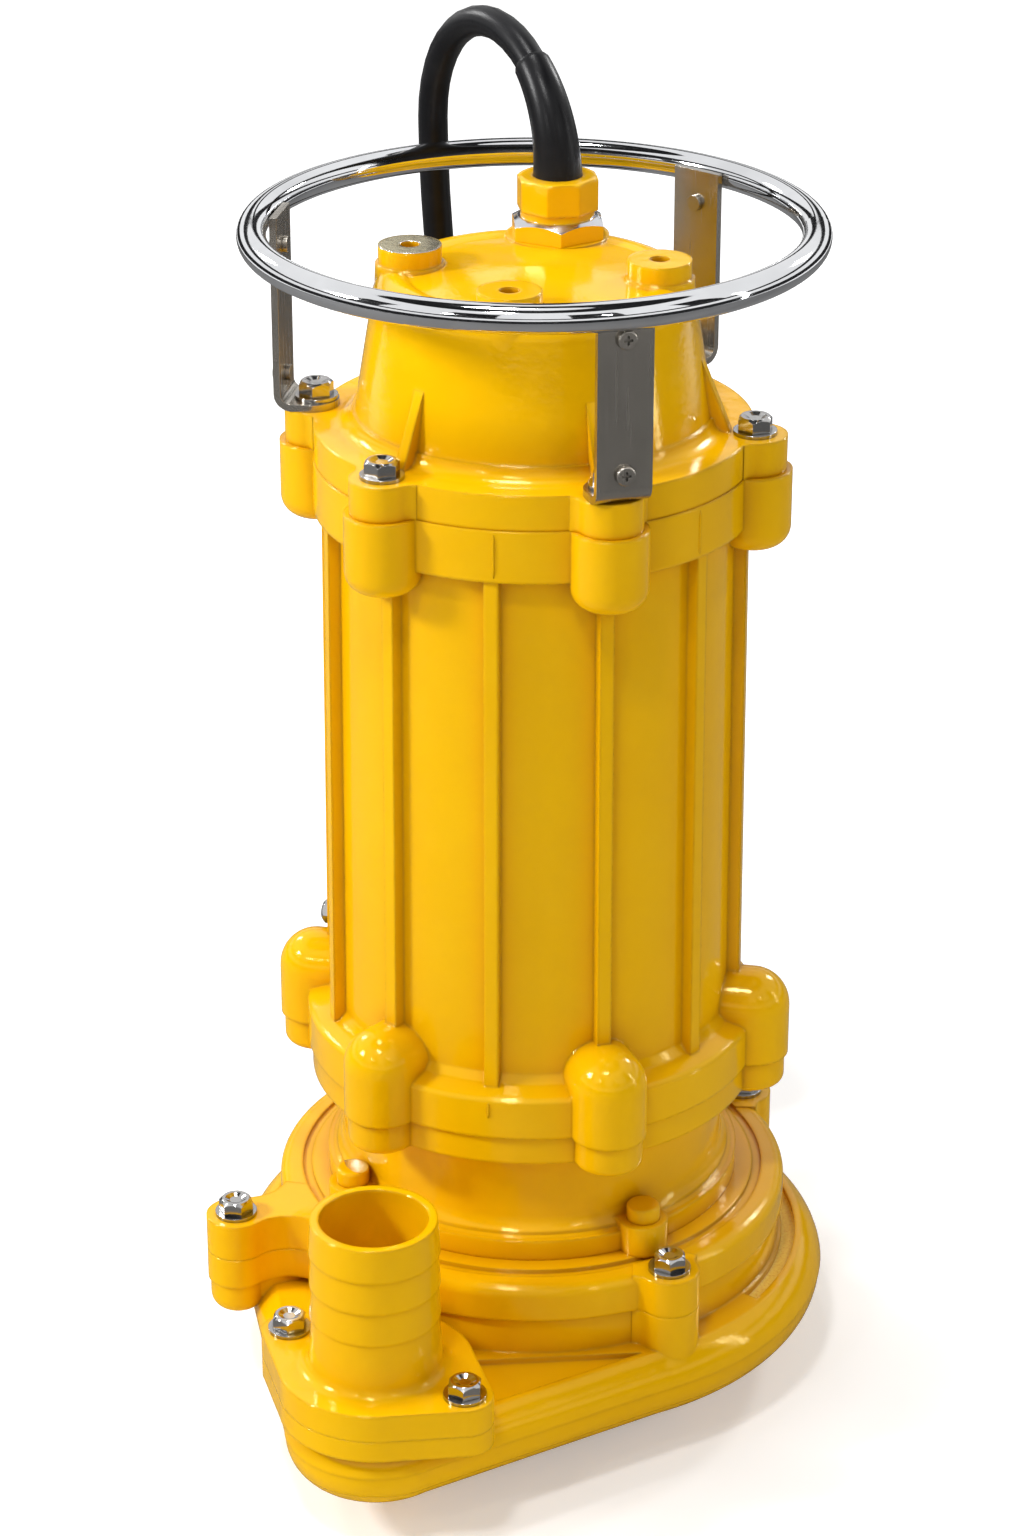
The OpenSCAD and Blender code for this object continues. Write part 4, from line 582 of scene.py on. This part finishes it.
def metal(name, color, dark, rough, scale, streak=(1, 1, 1), bump=0.15, edge=0.0004, corner_shade=0.6):
    """Bare metal: streaked or blotchy roughness, small scratches, and painted shade in the corners.
    """
    material, tree, shader = new_material(name)
    where = place(tree, streak)
    grain = noise(tree, where, scale, detail=5, roughness=0.6)
    cloud = noise(tree, place(tree), scale=35, detail=3)
    base = blend(tree, span(tree, cloud, 0.35, 0.7), color, tuple(c * 0.86 for c in color))
    # Painted shade: the metal goes towards its dark colour where ambient occlusion finds corners
    crease_shade = span(tree, corners(tree, distance=0.004, samples=4), 0.3, 0.8, corner_shade, 0)
    tree.links.new(blend(tree, crease_shade, base, dark), shader.inputs["Base Color"])
    shader.inputs["Metallic"].default_value = 1
    tree.links.new(span(tree, grain, 0.3, 0.7, *rough), shader.inputs["Roughness"])
    bumped(tree, shader, grain, strength=bump, distance=0.0003, edge=edge)
    return material


def rubber(name, color, rough, ribs=0.0):
    """Black rubber or nylon with a dull skin, fine grain and pale dust."""
    material, tree, shader = new_material(name)
    where = place(tree)
    grain = noise(tree, where, scale=900, detail=3)
    dust = noise(tree, where, scale=30)
    dusty = tuple(c * 2 + 0.008 for c in color)
    base = blend(tree, span(tree, dust, 0.5, 0.75, 0, 0.5), color, dusty)
    tree.links.new(base, shader.inputs["Base Color"])
    tree.links.new(span(tree, dust, 0.3, 0.7, *rough), shader.inputs["Roughness"])
    shader.inputs["Specular IOR Level"].default_value = 0.2
    height = grain
    if ribs:
        inputs = {"Vector": where, "Scale": ribs}
        wave = add(tree, "ShaderNodeTexWave", inputs, bands_direction="Z").outputs["Fac"]
        height = math_node(tree, "ADD", product(tree, grain, 0.3), wave)
    bumped(tree, shader, height, strength=0.2, distance=0.0002)
    return material


def turned(name, color, rough):
    """Machined metal with fine tool rings round the shaft's axis."""
    material, tree, shader = new_material(name)
    where = place(tree)
    rings = add(
        tree, "ShaderNodeTexWave",
        {"Vector": where, "Scale": 600, "Distortion": 0.4, "Detail": 2},
        wave_type="RINGS", rings_direction="Z",
    ).outputs["Fac"]
    stain = noise(tree, where, scale=40)
    base = blend(tree, span(tree, stain, 0.4, 0.7), color, tuple(c * 0.75 for c in color))
    tree.links.new(base, shader.inputs["Base Color"])
    shader.inputs["Metallic"].default_value = 1
    tree.links.new(span(tree, rings, 0, 1, *rough), shader.inputs["Roughness"])
    bumped(tree, shader, rings, strength=0.1, distance=0.0001, edge=0.0003)
    return material


HEXAGON_TOP = 0.5068


def gland_finish():
    """Paint on the sides of the gland's hexagon, bare metal on its bevelled top and right side."""
    material, tree, shader = new_material("gland_paint")
    where = place(tree)
    normal = normal_of(tree)
    bevel = math_node(tree, "GREATER_THAN", normal["Z"], 0.25)
    side = math_node(tree, "GREATER_THAN", normal["X"], 0.9)
    low = math_node(tree, "LESS_THAN", split(tree, where)["Z"], HEXAGON_TOP)
    bare = product(tree, math_node(tree, "MAXIMUM", bevel, side), low)
    grain = noise(tree, where, scale=160, detail=2)
    yellow = blend(tree, grain, YELLOW, YELLOW_GLAND)
    steel = blend(tree, grain, (0.66, 0.67, 0.7), (0.6, 0.61, 0.64))
    tree.links.new(blend(tree, bare, yellow, steel), shader.inputs["Base Color"])
    tree.links.new(bare, shader.inputs["Metallic"])
    tree.links.new(span(tree, grain, 0.3, 0.7, 0.12, 0.2), shader.inputs["Roughness"])
    bumped(tree, shader, grain, strength=0.05, distance=0.0002, edge=0.0005)
    return material


# Finishes, by the record's slot or by a node's own name for it
boss_top = bare_top(BARE_BOSS_ANGLE, BOSS_RING, reach=0.0135, low=0.505)
screw_top = bare_top(OIL_SCREW_ANGLE, OIL_SCREW_RING, reach=0.012, low=0.09)
casing_ring = sandy_floor(low=0.049, high=0.0522, inner=0.108, outer=0.128, least_x=0.085)
finishes = {
    "paint": paint("paint", 0.35),
    "rough_paint": paint("rough_paint", 0.9),
    "top_paint": paint("top_paint", 0.45, bare=boss_top),
    "screw_paint": paint("screw_paint", 0.3, bare=screw_top),
    "casing_paint": paint("casing_paint", 0.7, bare=casing_ring, seam=0.03),
    "bright_steel": metal(
        "bright_steel", (0.52, 0.51, 0.5), (0.04, 0.04, 0.04), (0.08, 0.16), 90,
        bump=0.03, corner_shade=0.8,
    ),
    "chrome": metal(
        "chrome", (0.8, 0.81, 0.83), (0.5, 0.5, 0.5), (0.03, 0.08), 60,
        bump=0.02, edge=0, corner_shade=0.1,
    ),
    "strap_steel": metal(
        "strap_steel", (0.55, 0.51, 0.45), (0.05, 0.05, 0.05), (0.22, 0.28), 60,
        streak=(14, 14, 0.35), bump=0.02, edge=0.0003,
    ),
    "machined_steel": turned("machined_steel", (0.55, 0.55, 0.56), (0.2, 0.35)),
    "cast_iron": metal(
        "cast_iron", (0.16, 0.16, 0.165), (0.03, 0.03, 0.03), (0.5, 0.75), 90, bump=0.5,
    ),
    "aluminium": metal("aluminium", (0.7, 0.7, 0.71), (0.2, 0.2, 0.2), (0.3, 0.45), 120),
    "copper": metal(
        "copper", (0.72, 0.33, 0.16), (0.2, 0.08, 0.03), (0.25, 0.4), 120, streak=(1, 1, 12),
    ),
    "rubber": rubber("rubber", (0.004, 0.004, 0.005), (0.28, 0.42)),
    "nylon": rubber("nylon", (0.01, 0.01, 0.01), (0.4, 0.5), ribs=260),
    "gland": gland_finish(),
}
special = {
    "gland_body": "gland", "top_cover": "top_paint", "oil_chamber_screws": "screw_paint",
    "volute_casing": "casing_paint", "volute_cover": "rough_paint",
    "oil_chamber": "rough_paint", "suction_plate": "rough_paint", "hose_tail": "rough_paint",
}
slots = {row["node"]: row["material_slot"] for row in frame["record"]["subparts"]}
for name, item in nodes.items():
    item.data.materials.clear()
    item.data.materials.append(finishes[special.get(name, slots[name])])
for item, finish in ((cable, "rubber"), (sleeve, "rubber"), (seams, "paint"), (ties, "nylon")):
    item.data.materials.append(finishes[finish])

# Floor, pale and shadowed, with a glow of its own for the eye and for reflections, which is
# weaker near the pump so that the shadow shows
FLOOR_HALF = 14
FLOOR_DROP = 0.0005
GLOW_FROM, GLOW_TO = 0.2, 1.6
GLOW_LEAST, GLOW_MOST = 0.34, 0.75
bm = bmesh.new()
bmesh.ops.create_grid(bm, x_segments=1, y_segments=1, size=FLOOR_HALF)
floor = add_mesh("floor", bm, body=None)
floor.location.z = -FLOOR_DROP
material, tree, shader = new_material("floor")
grain = noise(tree, place(tree), scale=60, detail=3)
pale = blend(tree, grain, (0.9, 0.9, 0.9), (0.88, 0.88, 0.88))
tree.links.new(pale, shader.inputs["Base Color"])
shader.inputs["Roughness"].default_value = 0.9
shader.inputs["Specular IOR Level"].default_value = 0
seen = seen_rays(tree)
shader.inputs["Emission Color"].default_value = (1, 1, 1, 1)
away = add(tree, "ShaderNodeVectorMath", {0: place(tree), 1: (0, 0, 0)}, operation="DISTANCE")
glow = span(tree, away.outputs["Value"], GLOW_FROM, GLOW_TO, GLOW_LEAST, GLOW_MOST)
tree.links.new(product(tree, seen, glow), shader.inputs["Emission Strength"])
floor.data.materials.append(material)

# Dark flags that only reflections see: bands round the stage, a grey disc low over the floor, a
# ring overhead, and upright panels behind and to both sides in front
FLAG_R = 2.6
FLAG_STEPS = 48
DISC_Z = 0.004
OVERHEAD_Z = 3
PANEL_LOW = 1.3
BANDS = (
    ((FLAG_R, 0.02), (FLAG_R, 0.5)), ((FLAG_R, 1.0), (FLAG_R, PANEL_LOW)),
    ((0.02, DISC_Z), (2.2, DISC_Z)), ((0.5, OVERHEAD_Z), (1.5, OVERHEAD_Z)),
)
BACK_HALF = 0.09
BACK_HIGH = 2.6
FRONT_HIGH = 2.8
FRONT_PANELS = ((14, 34), (-34, -14), (60, 76), (-76, -60))
bm = bmesh.new()
for band in BANDS:
    for k in range(FLAG_STEPS):
        face = []
        for turn, end in ((k, 0), (k + 1, 0), (k + 1, 1), (k, 1)):
            radius, height = band[end]
            face.append(bm.verts.new((*polar(360 * turn / FLAG_STEPS, radius), height)))
        bm.faces.new(face)
panels = [((-BACK_HALF, FLAG_R), (BACK_HALF, FLAG_R), BACK_HIGH)]
panels += [(polar(a, FLAG_R), polar(b, FLAG_R), FRONT_HIGH) for a, b in FRONT_PANELS]
for left, right, high in panels:
    face = ((*left, PANEL_LOW), (*right, PANEL_LOW), (*right, high), (*left, high))
    bm.faces.new([bm.verts.new(v) for v in face])
flags = add_mesh("flags", bm, body=None)
material, tree, shader = new_material("flags")
cloth = noise(tree, place(tree), scale=30, detail=3)
raised = span(tree, split(tree, place(tree))["Z"], 0.005, 0.015)
dark = blend(tree, cloth, (0.03, 0.03, 0.032), (0.04, 0.04, 0.042))
tree.links.new(blend(tree, raised, (0.2, 0.2, 0.2), dark), shader.inputs["Base Color"])
shader.inputs["Specular IOR Level"].default_value = 0
flags.data.materials.append(material)
flags.visible_camera = False
flags.visible_diffuse = False
flags.visible_shadow = False
flags.visible_transmission = False

# World, white where it is seen and low where it lights
WORLD_LIGHT = 0.22
world = bpy.data.worlds.new("world")
scene.world = world
world.use_nodes = True
tree = world.node_tree
tree.nodes.clear()
strength = span(tree, seen_rays(tree), 0, 1, WORLD_LIGHT, 1.0)
background = add(tree, "ShaderNodeBackground", {"Color": (1, 1, 1, 1), "Strength": strength})
add(tree, "ShaderNodeOutputWorld", {"Surface": background.outputs[0]})

# Lamps: name, place, height of what each is aimed at, width and height, watts
LAMPS = (
    ("left_key", (-1.6, -0.35, 1.25), 0.3, (0.28, 0.28), 23),
    ("left_square", (-0.9, -1.4, 1.3), 0.3, (0.1, 0.1), 2),
    ("right_square", (0.8, -1.5, 1.4), 0.3, (0.1, 0.1), 1.5),
    ("right_strip", (1.6, -0.2, 0.7), 0.3, (0.08, 1.0), 3),
    ("back_left", (-1.2, 1.2, 1.3), 0.3, (0.3, 0.3), 8),
    ("back_right", (1.2, 1.2, 1.3), 0.3, (0.3, 0.3), 9),
    ("top", (-0.2, 0.1, 2.2), 0.3, (0.3, 0.3), 13),
    ("front_top", (-0.3, -1.0, 2.1), 0.2, (0.22, 0.22), 11),
)
for name, spot, aim, (width, height), watts in LAMPS:
    light = bpy.data.lights.new(name, "AREA")
    light.shape = "RECTANGLE"
    light.size, light.size_y = width, height
    light.energy = watts
    lamp = bpy.data.objects.new(name, light)
    lamp.location = spot
    lamp.rotation_euler = (upright(aim) - Vector(spot)).to_track_quat("-Z", "Y").to_euler()
    collection.objects.link(lamp)
